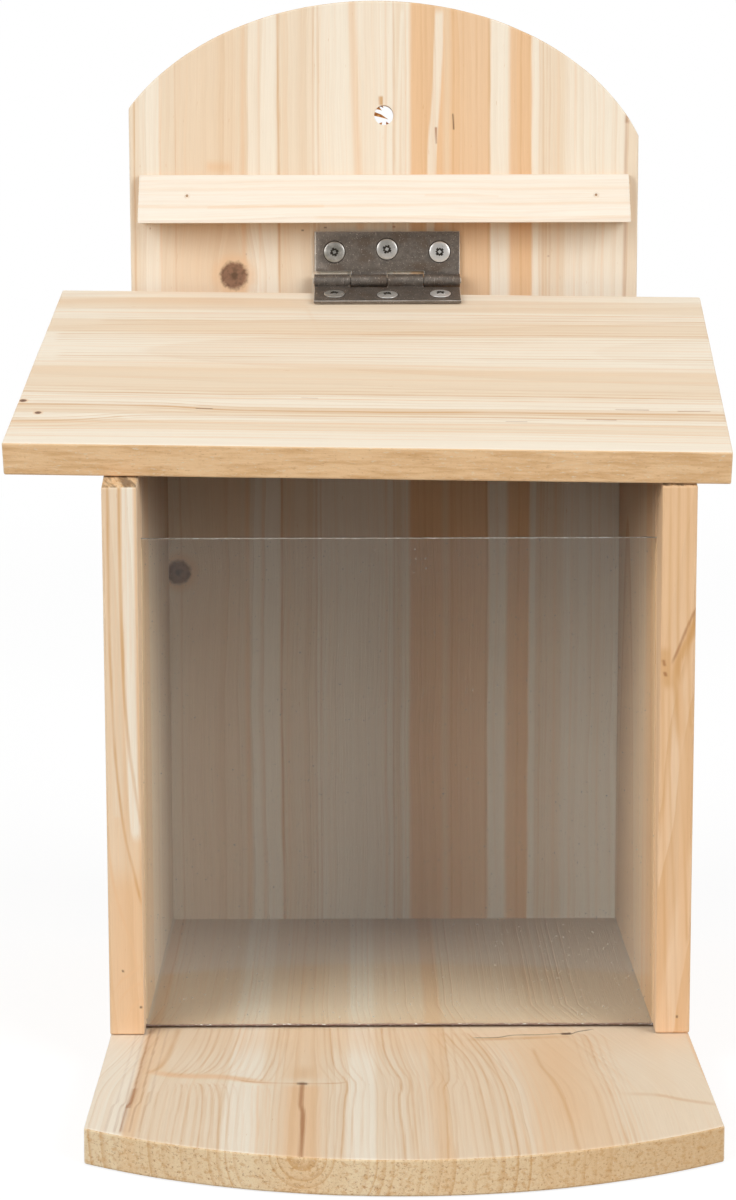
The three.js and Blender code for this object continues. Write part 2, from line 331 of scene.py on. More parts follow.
class Finish:
    """A material under way: one Principled shader and the fields that feed it."""

    def __init__(self, name):
        self.material, self.tree = blank_material(name)
        self.shader = self.tree.nodes.new("ShaderNodeBsdfPrincipled")
        self.output = self.tree.nodes.new("ShaderNodeOutputMaterial")
        self.tree.links.new(self.shader.outputs[0], self.output.inputs["Surface"])
        self.coordinates = self.tree.nodes.new("ShaderNodeTexCoord")

    def local(self, origin=(0.0, 0.0, 0.0), turn=None):
        """Place in millimetres in a frame with that origin, in millimetres, and that turn."""
        spot = Field(self.coordinates.outputs["Object"])
        return spot.node(
            "ShaderNodeMapping", spot, Vector(origin) * MM, (turn or Matrix.Identity(3)).to_euler(),
            (MM, MM, MM), vector_type="TEXTURE").parts()

    def plain(self, colour):
        """One colour all over."""
        made = self.tree.nodes.new("ShaderNodeRGB")
        made.outputs[0].default_value = (*colour, 1.0)
        return Field(made.outputs[0])

    def facing(self, direction):
        """How far the surface faces along a direction: the cosine, 1 to -1."""
        normal = Field(self.coordinates.outputs["Normal"])
        return normal.vector_maths("DOT_PRODUCT", tuple(direction), output=1)

    def set(self, **values):
        """Feeds the shader's sockets; a name's underscores stand for spaces."""
        for name, value in values.items():
            feed(self.shader.inputs[name.replace("_", " ")], value)

    def relief(self, height, depth, strength):
        """Bump of that depth in millimetres where height goes from 0 to 1."""
        bump = node_in(self.tree, "ShaderNodeBump", strength, depth * MM, None, height)
        feed(self.shader.inputs["Normal"], bump)


# Pine

class Board:
    """How a board's pattern lies: which of its axes run along the grain, across and through."""

    def __init__(self, along, across, through, origin=(0.0, 0.0, 0.0), turn=None, sawn=None):
        self.axes = ["XYZ".index(letter) for letter in (along, across, through)]
        self.origin = origin
        self.turn = turn or Matrix.Identity(3)
        self.grain = self.turn.col[self.axes[0]]
        self.sawn = self.turn @ Vector(sawn) if sawn else None


class Line:
    """A grain line or band through spots, each (across, along), in millimetres.

    One that crosses the grain has its spots in order across the board, others in order along it.
    On an edge, across is measured through the board. A glow is the width over which it fades on
    one side, like a year's ring: towards higher places if above zero, lower ones if below. The
    echo is how strongly fainter lines run beside it."""

    def __init__(self, colour, share, half, *spots, soft=0.3, glow=0.0, crossing=False, echo=0.0):
        self.colour = colour
        self.share = share
        self.half = half
        self.spots = spots
        self.soft = soft
        self.glow = glow
        self.crossing = crossing
        self.on_edge = False
        self.echo = echo


def straight(colour, share, half, middle, soft=0.3, lean=0.0):
    """A line that runs the length of a board, at that place where along is zero."""
    ends = ((middle + lean * along, along) for along in (-400.0, 400.0))
    return Line(colour, share, half, *ends, soft=soft)


def dash(colour, share, half, start, end, soft=0.15):
    """A short dark canal, crack or speck between two spots."""
    crossing = abs(end[0] - start[0]) > abs(end[1] - start[1])
    return Line(colour, share, half, start, end, soft=soft, crossing=crossing)


def ring(colour, share, half, *spots):
    """A year's ring on the porch, which glows towards the whorl and has fainter ones beside it."""
    glow = 1.6 if spots[0][0] < WHORL else -1.6
    return Line(colour, share, half * 0.65, *spots, glow=glow, echo=0.5)


def vein(colour, share, half, *spots, soft=0.3):
    """A line on the roof with fainter ones beside it."""
    return Line(colour, share, half * 0.7, *spots, soft=soft, echo=0.5)


class Knot:
    """A knot at (across, along), with the radius of its core."""

    def __init__(self, across, along, radius, share=1.0):
        self.across = across
        self.along = along
        self.radius = radius
        self.share = share


def wood(name):
    """The colour of a wood in the feeder's settings."""
    return tuple(getattr(bpy.context.scene.feeder_timber, name))


def curve_through(way, spots):
    """A smooth curve through spots, each (place on the way, value)."""
    lows = [min(values) for values in zip(*spots)]
    spans = [max(max(values) - min(values), 0.01) for values in zip(*spots)]
    shares = sorted(
        tuple((value - low) / span for value, low, span in zip(spot, lows, spans))
        for spot in spots)
    share = way.maths("MULTIPLY_ADD", 1.0 / spans[0], -lows[0] / spans[0])
    curve = way.node("ShaderNodeFloatCurve", None, share)
    mapping = curve.socket.node.mapping
    points = mapping.curves[0].points
    points[0].location, points[-1].location = shares[0], shares[-1]
    for share in shares[1:-1]:
        points.new(*share)
    mapping.update()
    return curve.maths("MULTIPLY_ADD", spans[1], lows[1])


def line_group():
    """The group that says how much of a line's colour lies at a spot."""
    name = "feeder_line"
    if name in bpy.data.node_groups:
        return bpy.data.node_groups[name]
    tree = bpy.data.node_groups.new(name, "ShaderNodeTree")
    sockets = ("Side", "Middle", "Half", "Soft", "Glow", "Glow Share", "Way", "Start", "End",
               "Fade", "Share", "Echo")
    for socket in sockets:
        tree.interface.new_socket(socket, in_out="INPUT", socket_type="NodeSocketFloat")
    tree.interface.new_socket("Amount", in_out="OUTPUT", socket_type="NodeSocketFloat")
    given = tree.nodes.new("NodeGroupInput")
    side, middle, half, soft, glow, glow_share, way, start, end, fade, share, echo = (
        Field(given.outputs[socket]) for socket in sockets)
    gap = side - middle
    near = gap.maths("ABSOLUTE").eased(half + soft, half - soft)
    profile = [(end, 0.0) for end in (-9.0, -7.0, 7.0, 9.0)]
    # How far beside it fainter lines run, and how strong they are
    for beside, weight in ((-3.1, 0.6), (-1.3, 0.8), (1.9, 1.0), (3.9, 0.5)):
        profile += [(beside - 0.45, 0.0), (beside, weight), (beside + 0.45, 0.0)]
    near = near.maths("MAXIMUM", curve_through(gap, profile) * echo)
    early = gap.eased(glow, 0.0) * gap.eased(0.0, glow * 0.05) * glow_share
    reach = way.eased(start - fade, start + fade) * way.eased(end + fade, end - fade)
    result = tree.nodes.new("NodeGroupOutput")
    feed(result.inputs[0], near.maths("MAXIMUM", early) * reach * share)
    return tree


def drawn(line, across, through, along):
    """How much of a line's colour lies at each spot."""
    side = through if line.on_edge else across
    spots = [(along_place, across_place) for across_place, along_place in line.spots]
    way = along
    if line.crossing:
        way, side = side, way
        spots = [spot[::-1] for spot in spots]
    (start, first), (end, last) = min(spots), max(spots)
    if len(spots) == 2:
        slope = (last - first) / (end - start) if end > start else 0.0
        middle = way.maths("MULTIPLY_ADD", slope, first - start * slope)
    else:
        middle = curve_through(way, spots)
    fade = max(line.soft, 0.25) * (4.0 if len(spots) > 2 else 1.0)
    glow_share = 0.32 if line.glow else 0.0
    return way.node(
        "ShaderNodeGroup", side, middle, line.half, line.soft, line.glow or 1.0, glow_share, way,
        start, end, fade, line.share, line.echo, node_tree=line_group())


def painted(colour, lines, across, through, along, patchy, edge_on):
    """The colour with these lines drawn over it, those of an edge only where edge_on is 1."""
    for line in lines:
        share = drawn(line, across, through, along) * patchy
        if line.on_edge:
            share = share * edge_on
        colour = mixed(share, colour, line.colour)
    return colour


def bent_round(knots, across, along):
    """Where rings lie across a board once they have bent round its knots."""
    for knot in knots:
        off = across - knot.across
        near = ((along - knot.along) / (knot.radius * 2.4)).maths("POWER", 2.0) * -1.0
        fall = (off.maths("ABSOLUTE") / (knot.radius * -2.5)).maths("EXPONENT")
        push = near.maths("EXPONENT") * fall * (knot.radius * 0.9)
        kept = (off.maths("ABSOLUTE") - push).maths("MAXIMUM", 0.0)
        across = off.maths("SIGN") * kept + knot.across
    return across


def with_knots(knots, colour, height, across, along, seed):
    """The colour and the height with knots drawn over them."""
    for knot in knots:
        gap = ((along - knot.along).maths("POWER", 2.0)
               + (across - knot.across).maths("POWER", 2.0)).maths("SQRT")
        rough = cloud(across / 1.1, along / 1.1, seed, detail=3.0)
        gap = gap + (rough - 0.5) * knot.radius * 0.35
        halo = gap.eased(knot.radius * 1.9, knot.radius * 1.0)
        colour = mixed(halo * 0.6 * knot.share, colour, "orange")
        inside = gap.eased(knot.radius * 1.15, knot.radius * 0.75)
        core = mixed(rough.eased(0.3, 0.6) * 0.6 + 0.4, "bark", "knot")
        core = mixed(gap.eased(knot.radius * 0.4, knot.radius * 0.12), core, "bark")
        colour = mixed(inside * 0.92 * knot.share, colour, core)
        height = height - inside * rough * 0.8
    return colour, height


def end_grain(bands, line, pores, across, through, seed, shaded, aged):
    """The colour of wood cut across, with painted shade in dark slanting streaks that is strongest at
    the front, and browner from the first to the second place of aged. Bands is the colour of the bands
    behind the grain lines."""
    torn = cloud(across * 0.8, through * 0.8, seed + 9.0, detail=3.0, roughness=0.6)
    ends = mixed(0.6, bands, "cream").vector_maths("MULTIPLY", wood("end_grain"))
    ends = mixed(line * 0.55, ends, "tan")
    ends = mixed(torn.eased(0.48, 0.68) * 0.5, ends, "tan")
    ends = mixed(pores.eased(0.42, 0.3) * 0.55, ends, "pale")
    ends = mixed(pores.eased(0.54, 0.68) * 0.65, ends, "brown")
    if aged:
        ends = mixed(across.eased(*aged) * 0.4, ends, "tan")
    # Painted shade: dark slanting streaks, strongest at the front of the end grain
    if shaded:
        slant = cloud((across * 0.4 + through) * 0.55, across * 0.12, seed, detail=3.0)
        painted_shade = slant.eased(0.62, 0.36) * (across.eased(2.0, -9.0) * 0.75 + 0.25) * shaded
        ends = mixed(painted_shade, ends, "bark")
    return ends


def sawn_edge(fuzz, far, across, through):
    """The colour of an edge left rough from the saw."""
    blotch = cloud(far / 12, through / 1.6, across / 3, detail=3.0, roughness=0.6)
    colour = mixed(blotch.eased(0.35, 0.75) * 0.55, "sawn", "tan")
    colour = mixed(fuzz.eased(0.55, 0.72) * 0.6, colour, "pale")
    return mixed(fuzz.eased(0.42, 0.3) * 0.3, colour, "brown")


def pine(name, board, heart, spacing, zones, late=0.4, drift=1.0, lines=(), knots=(), seed=0.0,
         fleck=0.5, spread=None, calm=None, shaded_ends=0.0, aged_ends=None):
    """Pine whose rings lie round a heart: its place across and through, and how far it leans
    across and dips through per millimetre along.

    Zones are (colour, place), in order across: the colour holds from that place on. Late is how
    strong the year's rings are; they hardly show beyond the calm place. Drift is how far lines
    wander, fleck how much the resin canals show, and spread gives the place across that the rings
    are measured at."""
    finish = Finish(name)
    local = finish.local(board.origin, board.turn)
    along, across, through = (local[axis] for axis in board.axes)
    far = along + seed * 200
    wander = (cloud(far / 70, across / 45, through / 45 + seed) - 0.5) * 5.0 * drift
    wander = wander + (cloud(far / 14, across / 7, through / 7 + seed) - 0.5) * 0.5 * drift
    shifted = bent_round(knots, (spread(across, along) if spread else across) + wander, along)

    heart_across, heart_through, lean, dip = heart
    radius = ((shifted - (along * lean + heart_across)).maths("POWER", 2.0)
              + (through - (along * dip + heart_through)).maths("POWER", 2.0)).maths("SQRT")
    growth = radius / spacing
    growth = growth + (cloud(growth * 0.45, seed + 3.1, far / 900) - 0.5) * 3.0
    year = growth.maths("FLOOR")
    within = growth.maths("FRACT")
    luck = chance(year, seed + 0.5)
    shown = across.eased(calm + 5.0, calm - 5.0) * 0.85 + 0.15 if calm else 1.0
    line = within.eased(0.45, 0.92) * within.eased(1.0, 0.95) * (luck * luck * 0.8 + 0.2) * shown
    streak = cloud(shifted * 1.3, far / 130, through * 1.3 + seed, detail=3.0, roughness=0.6)
    fibre = cloud(shifted * 2.6, far / 22, through * 2.6, detail=4.0, roughness=0.65)
    fine = cloud(shifted * 7.0, far / 6, through * 7.0, detail=2.0, roughness=0.6)
    patchy = cloud(across / 5, far / 24, through / 5 + seed, detail=2.0).eased(0.25, 0.6)

    colour = finish.plain(wood(zones[0][0]))
    ragged = (fibre - 0.5) * 1.1
    spot = (across + wander * 0.25 + ragged, through + ragged * 0.5, along)
    for zone, start in zones[1:]:
        colour = mixed(spot[0].eased(start - 0.8, start + 0.8), colour, zone)
    broad = cloud(across / 9, far / 170, through / 9 + seed)
    colour = mixed(broad.eased(0.52, 0.8) * (late + 0.1), colour, "peach")
    colour = mixed(chance(year, seed + 8.5).eased(0.5, 1.0) * shown * 0.2, colour, "pale")
    edge_on = finish.facing(board.turn.col[board.axes[1]]).maths("ABSOLUTE").eased(0.5, 0.8)
    wide = [drawing for drawing in lines if drawing.half > WIDE_LINE]
    bands = painted(colour, wide, *spot, 1.0, edge_on)
    colour = mixed(line * late, bands, "tan")
    colour = mixed(streak.eased(0.5, 0.72) * late * 0.9, colour, "orange")
    shade = 1.0 + (fibre - 0.5) * 0.12 + (fine - 0.5) * 0.07
    warm = (fibre - 0.5) * 0.1 + shade
    colour = colour.vector_maths("MULTIPLY", place(shade, shade * 0.5 + warm * 0.5, warm))
    canal = cloud(shifted * 3.4, far / 3.2, through * 3.4 + 7.0, detail=1.0)
    colour = mixed(canal.eased(0.76, 0.84) * fleck, colour, "tan")
    thin = [drawing for drawing in lines if drawing.half <= WIDE_LINE]
    colour = painted(colour, thin, *spot, patchy * 0.45 + 0.45, edge_on)
    height = 1.0 - line * 0.6 + (fibre - 0.5) * 0.9 + (fine - 0.5) * 0.5
    colour, height = with_knots(knots, colour, height, across, along, seed)

    end = finish.facing(board.grain).maths("ABSOLUTE").eased(0.45, 0.8)
    pores = cloud(across * 1.5, through * 1.7, along * 0.5 + seed, detail=4.0, roughness=0.8)
    colour = mixed(end, colour, end_grain(
        bands, line, pores, across, through, seed, shaded_ends, aged_ends))
    rough_share = end
    if board.sawn:
        sawn = finish.facing(board.sawn).eased(0.8, 0.95)
        fuzz = cloud(far / 1.6, through * 1.8, across + 5.0, detail=4.0, roughness=0.75)
        colour = mixed(sawn, colour, sawn_edge(fuzz, far, across, through))
        height = height + sawn * (fuzz - 0.5) * 2.0
        rough_share = (end + sawn).maths("MINIMUM", 1.0)
    height = height + end * (pores - 0.5) * -2.0

    bounced = node_in(finish.tree, "ShaderNodeLightPath", output="Is Diffuse Ray")
    colour = mixed(bounced, colour, "bounce", way="MULTIPLY")
    # Painted shade inside the box: light bounced between the boards that shut it in is dimmed and
    # browned
    colour = mixed(bounced * inside_share(finish), colour, "inner_bounce", way="MULTIPLY")
    finish.set(
        Base_Color=colour, Roughness=((fibre - 0.5) * 0.25 + rough_share * 0.15 + 0.62),
        IOR=1.5, Specular_IOR_Level=0.28)
    finish.relief(height, 0.12, 0.55)
    return finish.material


def inside_share(finish):
    """1 on the surfaces that shut the box in, 0 on those outside it."""
    x, y, z = finish.local()
    under_roof = ((z - HINGE_AXIS.z / MM) * math.cos(ROOF_SLOPE)
                  - (y - HINGE_AXIS.y / MM) * math.sin(ROOF_SLOPE)).eased(-5.0, -7.0)
    between_sides = x.maths("ABSOLUTE").eased(60.5, 59.8)
    behind_pane = y.eased(-14.5, -13.0)
    before_back = y.eased(90.0, 89.5)
    on_floor = z.eased(7.0, 7.6)
    return between_sides * behind_pane * before_back * on_floor * under_roof


# Marks on the boards, as (across, along) in millimetres

BACK_ZONES = [
    ("cream", -70), ("pale", -65.5), ("cream", -60.4), ("pale", -38), ("cream", -30), ("pale", -21),
    ("cream", 0.4), ("pale", 2.1), ("orange", 4.2), ("peach", 12.9), ("orange", 14.6), ("pale", 25),
    ("orange", 30), ("pale", 36.1), ("cream", 38), ("pale", 44.5), ("cream", 59.9),
]
BACK_LINES = [
    straight("peach", 0.35, 8, -49, 4),
    straight("tan", 0.6, 0.25, -67.06),
    straight("orange", 0.4, 0.25, -60.4),
    straight("tan", 0.35, 0.2, -56.5),
    straight("orange", 0.5, 0.55, -38.9, 0.5),
    straight("orange", 0.3, 0.25, -34.7),
    straight("tan", 0.65, 0.3, -29.7),
    straight("orange", 0.3, 0.3, -28.1, 0.5),
    straight("tan", 0.45, 0.25, -20.6),
    straight("tan", 0.35, 0.25, -19.4),
    Line("orange", 0.5, 1, (-10.8, 256), (-8.6, 192), soft=0.8),
    straight("orange", 0.4, 0.25, -2.1),
    Line("pale", 0.95, 0.4, (-0.7, 248), (-1.1, 230), (-1.2, 206), soft=0.25),
    straight("tan", 0.5, 0.22, 0),
    Line("pale", 0.9, 0.35, (2.3, 248), (1.3, 225), (1, 206), soft=0.25),
    straight("orange", 0.4, 0.2, 3.1),
    straight("tan", 0.25, 0.3, 8.3, 0.5),
    Line("pale", 0.85, 1.1, (11.9, 248), (11, 228), (9.7, 206), (9.3, 170), soft=0.4),
    straight("tan", 0.5, 0.3, 24.7),
    straight("tan", 0.3, 0.25, 15.4),
    straight("tan", 0.25, 0.2, 18),
    straight("tan", 0.2, 0.3, 21.4),
    straight("tan", 0.35, 0.2, 33),
    straight("pale", 0.9, 0.5, 36.4),
    straight("tan", 0.3, 0.15, 37.8),
    straight("tan", 0.3, 0.15, 38.8),
    straight("tan", 0.25, 0.15, 39.6),
    straight("tan", 0.3, 0.15, 40.4),
    straight("orange", 0.3, 0.3, 42.7),
    straight("orange", 0.3, 0.3, 47),
    straight("orange", 0.25, 0.3, 54.3),
    straight("brown", 0.35, 0.35, 60.1, 0.4),
    dash("bark", 0.85, 0.2, (15.3, 221.8), (15.5, 217.8)),
    dash("brown", 0.85, 0.2, (10.9, 218.4), (11, 214.2)),
    dash("brown", 0.6, 0.5, (60.2, 221.2), (60.2, 219.4), 0.4),
    dash("orange", 0.6, 1.2, (-48.5, 208.4), (-42, 208.2), 1.2),
    dash("bark", 0.9, 0.3, (-23.7, 192.2), (-23.7, 191.9), 0.2),
    dash("bark", 0.9, 0.35, (-17.8, 192.9), (-17.8, 192.6), 0.2),
    dash("brown", 0.9, 0.35, (0.2, 193.1), (0.2, 192.7), 0.2),
    dash("brown", 0.6, 0.2, (-63.3, 192.8), (-63.3, 192.4), 0.15),
    dash("brown", 0.6, 0.2, (-38.3, 186.1), (-38.3, 185.7), 0.15),
    dash("brown", 0.6, 0.2, (40.1, 185.4), (40.1, 185.1), 0.15),
    dash("tan", 0.9, 0.5, (-3.4, 226.3), (-3.3, 224), 0.4),
    dash("pale", 0.8, 0.8, (-4.4, 218.6), (-2.6, 217.8), 0.6),
]
# Torn wood at the hanging hole: root, tip and width, in millimetres of the part's frame. The first,
# brown splinter is partly painted shade, standing where a splinter's shadow falls.
SPLINTERS = [
    ((-5.2, 90.2, 221.9), (-1.3, 89.8, 220.4), 1),
    ((-4.9, 89.9, 223.6), (-3, 89.6, 222.7), 1.1),
    ((-3.6, 90, 224.2), (-2.6, 89.6, 223.3), 0.7),
    ((-3.4, 90.2, 218.9), (-2.9, 89.7, 219.7), 0.9),
    ((-1.4, 90.4, 219.2), (-1.9, 89.9, 219.9), 0.7),
]

BATTEN_LINES = [
    Line("peach", 0.4, 0.3, (203, -70), (202.6, -10), (203.2, 70), soft=0.5, echo=0.5),
    Line("orange", 0.4, 0.2, (201, 8), (200.9, 27), soft=0.3),
    Line("peach", 0.5, 0.35, (198.8, -70), (198.3, -20), (198.9, 20), (199, 70)),
    Line("orange", 0.4, 0.25, (198.2, -48), (198.3, -18), soft=0.4),
    Line("peach", 0.5, 0.3, (195.4, -20), (195.5, 25), (195.3, 64), soft=0.4),
]

LEFT_LINES = [
    Line("cream", 0.7, 1.1, (-64.9, 137), (-64.7, 60), soft=0.5),
    Line("pale", 0.95, 1.3, (-61.6, 137), (-61.5, 85), (-60.4, 55), soft=0.4),
    Line("tan", 0.75, 0.3, (-66, 137), (-65.8, 88), (-64.2, 63), (-61.2, 46), (-59.6, 39)),
    Line("tan", 0.7, 0.35, (-63.5, 137), (-63.2, 97), (-62.4, 80), (-60.9, 67), (-59.5, 58)),
    Line("orange", 0.8, 0.35, (-67.5, 66), (-66.9, 50), (-64.9, 39), (-62.2, 30), (-61, 24)),
    straight("orange", 0.7, 0.5, -59.6, 0.4),
    Line("orange", 0.8, 0.4, (-66.6, 17.5), (-65.2, 20.5), (-62.8, 22.6), (-59.5, 25), soft=0.4,
         crossing=True),
    Line("orange", 0.8, 0.4, (-66.2, 12.5), (-64.6, 17), (-62.4, 19.4), (-59.5, 20.6), soft=0.4,
         crossing=True),
    Line("orange", 0.8, 0.4, (-63.8, 9), (-62.8, 13.6), (-59.5, 17), soft=0.4, crossing=True),
    Line("orange", 0.75, 5, (-63, 46), (-63, 8), soft=4),
    dash("bark", 0.9, 0.22, (-64.3, 23.7), (-64.2, 23.2)),
    dash("bark", 0.9, 0.25, (-60.2, 15), (-60.2, 14.5)),
]
RIGHT_LINES = [
    straight("orange", 0.75, 1.2, 66.3, 1),
    straight("orange", 0.6, 1, 60.8, 1),
    Line("tan", 0.5, 0.3, (63.2, 137), (63.6, 95), (65.2, 60), (66.6, 30), soft=0.4),
    Line("tan", 0.4, 0.3, (61.4, 137), (61.8, 80), (63.4, 40), (64.6, 8), soft=0.4),
    Line("tan", 0.7, 0.95, (67.6, 107), (66.4, 102.5), (64.4, 98), (63.4, 94), (63.9, 86), (64.4, 78),
         soft=0.8),
    Line("orange", 0.8, 0.7, (63.8, 92), (64.6, 80), (64.9, 60), (65.2, 30), soft=0.6),
    Line("brown", 0.75, 0.3, (67.6, 108.4), (66, 105), (64.4, 101), (62.4, 96), soft=0.3),
    Line("tan", 0.5, 1.3, (60.4, 99), (61.2, 90), soft=1.3),
    dash("brown", 0.8, 0.35, (60.2, 96.4), (60.5, 95), 0.3),
    dash("brown", 0.9, 0.35, (60.5, 93.6), (60.8, 92.6), 0.3),
    Line("tan", 0.4, 0.3, (65.3, 137), (65.6, 110), (66.8, 80), soft=0.4),
    Line("tan", 0.4, 0.3, (60.2, 90), (60.9, 50), (62.3, 8), soft=0.4),
    dash("bark", 0.9, 0.25, (64.5, 12.4), (64.5, 11.8)),
]
for line in LEFT_LINES + RIGHT_LINES:
    line.on_edge = True

FLOOR_ZONES = [
    ("pale", -80), ("peach", -59.2), ("cream", -56), ("pale", -38.5), ("cream", -31), ("pale", -12),
    ("cream", -6), ("peach", 6), ("cream", 10),
]
FLOOR_LINES = [
    Line("orange", 0.4, 11, (-57, -14), (0, -15), (60, -16), soft=10, crossing=True),
    Line("peach", 0.35, 10, (8, -8), (12, -40), (14, -99), soft=8),
    Line("peach", 0.8, 2.6, (-55.4, -8), (-55.6, -34), (-54, -42), soft=1.5),
    Line("peach", 0.75, 4.5, (-22, -8), (-22, -46), soft=2.5),
    Line("orange", 0.8, 4, (-21.9, -50), (-21.6, -99), soft=2.5),
    Line("tan", 0.4, 1.2, (-21.9, -38), (-22, -46), soft=3.5),
    Line("peach", 0.9, 8.5, (32.4, -14), (34.6, -40), (36, -60), (35.4, -99), soft=2.5),
    Line("orange", 0.55, 4, (34, -14), (35, -50), (35.4, -80), soft=4),
    Line("orange", 0.75, 1.5, (-56, -40.6), (-48.6, -43.4), (-41.2, -44), (-34.5, -46.4), (-30.7, -48),
         soft=1.2, crossing=True),
    Line("tan", 0.6, 0.35, (-36, -46.4), (-30.7, -48.2), (-22.3, -48.9), (-14.9, -48.9), (-12.4, -47.3),
         soft=0.4, crossing=True),
    ring("brown", 0.7, 0.4, (-58.3, -9), (-58.6, -30), (-58.7, -45), (-58.7, -60), (-59.5, -65),
         (-59.5, -80)),
    dash("brown", 0.6, 0.5, (-58.7, -52), (-59.2, -64.8), 0.5),
    Line("tan", 0.5, 0.6, (-51.9, -9), (-52.5, -20.6), (-53.2, -31.4), (-56.2, -41), soft=0.6),
    ring("tan", 0.5, 0.35, (-44.1, -9), (-44.7, -22.1), (-46.2, -33), (-49.6, -43)),
    ring("tan", 0.54, 0.35, (-39.3, -9), (-39.9, -20.6), (-40.8, -31.3), (-44.2, -42)),
    ring("orange", 0.43, 0.3, (-36, -9), (-36.8, -22), (-37.6, -33), (-40.6, -43)),
    ring("tan", 0.6, 0.35, (-28.1, -9), (-28.3, -20.5), (-28.8, -31.3), (-30, -41), (-31.4, -47.5)),
    ring("tan", 0.7, 0.35, (-16.3, -9), (-15.9, -20.5), (-15.5, -32.8), (-14.5, -40.2), (-12.8, -46.7),
         (-12.3, -50.3), (-12.7, -60.1), (-13, -84), (-13.3, -99)),
    ring("tan", 0.61, 0.4, (-4.2, -9), (-4, -23.5), (-2.9, -34.2), (-1.4, -42.3), (-0.3, -50.3),
         (-0.9, -60.1), (-0.3, -83.9), (-0.1, -99)),
    ring("tan", 0.43, 0.35, (-1.4, -9), (-0.7, -23), (0.8, -38), (1.9, -46.7), (2.1, -63.8), (2.6, -99)),
    ring("orange", 0.43, 0.3, (2.8, -9), (4.1, -22.3), (4.6, -39.3), (5.2, -60), (5, -99)),
    ring("tan", 0.54, 0.35, (10.1, -9), (10.3, -28.5), (10.4, -45.2), (9, -53.9), (9.1, -67.9),
         (8.5, -99)),
    ring("tan", 0.61, 0.4, (10.6, -13), (12.2, -20.7), (15.2, -33.1), (16.7, -45.2), (17.3, -58.1),
         (17.9, -99)),
    ring("tan", 0.61, 0.4, (15.6, -13), (19.7, -30), (21.5, -43.7), (22.7, -58.1), (23.2, -85.1),
         (23.1, -99)),
    ring("orange", 0.5, 0.3, (19.4, -22), (21, -34.7), (22.7, -48.1), (23.9, -60.9), (25.5, -99)),
    ring("orange", 0.58, 0.4, (25, -25), (27, -42), (28.6, -67.8), (28.7, -99)),
    Line("tan", 0.43, 0.4, (30.4, -25), (31.1, -34.6), (33.9, -50.9), (35.1, -66.4), (35.7, -99),
         soft=0.5),
    ring("tan", 0.61, 0.35, (42, -14), (43.5, -18.9), (43.9, -34.6), (44.9, -48), (45.5, -62.3),
         (46.1, -99)),
    ring("orange", 0.61, 0.3, (43.4, -15), (44.9, -34.6), (46.1, -48), (46.5, -63.6), (46.9, -80),
         (46.7, -99)),
    ring("tan", 0.4, 0.3, (-55.1, -54), (-55.6, -67.1), (-55.2, -90)),
    ring("tan", 0.43, 0.35, (-48.8, -49), (-48.3, -63), (-48.5, -72.4), (-48.3, -92)),
    ring("tan", 0.55, 0.35, (-45.2, -48.6), (-43.6, -56), (-43.1, -69.7), (-42.9, -95)),
    ring("tan", 0.43, 0.35, (-41.6, -49), (-39.9, -58), (-39, -84), (-38.3, -95)),
    ring("orange", 0.58, 0.4, (-31.7, -50), (-31.5, -62.9), (-30.9, -78.9), (-30.8, -97)),
    ring("orange", 0.43, 0.3, (-29.5, -52), (-28.6, -76.3), (-28.7, -97)),
    Line("brown", 0.8, 0.45, (-22.1, -48.4), (-22.2, -60.2), (-21.6, -69.7), (-21.5, -99), soft=0.5),
    dash("bark", 0.85, 0.7, (-23.2, -49), (-20.9, -49.2), 0.5),
    Line("bark", 0.85, 0.28, (17.4, -16.6), (21.8, -16.6), (26.9, -14.7), (32.4, -14.5), (37.5, -13.8),
         (38.9, -14.2), (41.1, -12.6), (45, -10.6), soft=0.25, crossing=True),
    dash("bark", 0.95, 0.75, (37.6, -14), (39.9, -13.6), 0.3),
    Line("tan", 0.6, 0.9, (17, -18), (26.9, -17.2), (38, -16), soft=0.9, crossing=True),
    Line("tan", 0.45, 0.9, (49.3, -56.6), (54.9, -57.3), (60, -60.3), (67, -63.6), soft=0.9,
         crossing=True),
    Line("orange", 0.8, 0.35, (66.9, -14), (67.2, -40.5), (68.3, -60.8), (69, -75)),
    dash("bark", 0.85, 0.8, (68.6, -64), (68.8, -71), 0.7),
    dash("bark", 0.9, 0.5, (71, -78), (74, -79.5), 0.4),
]

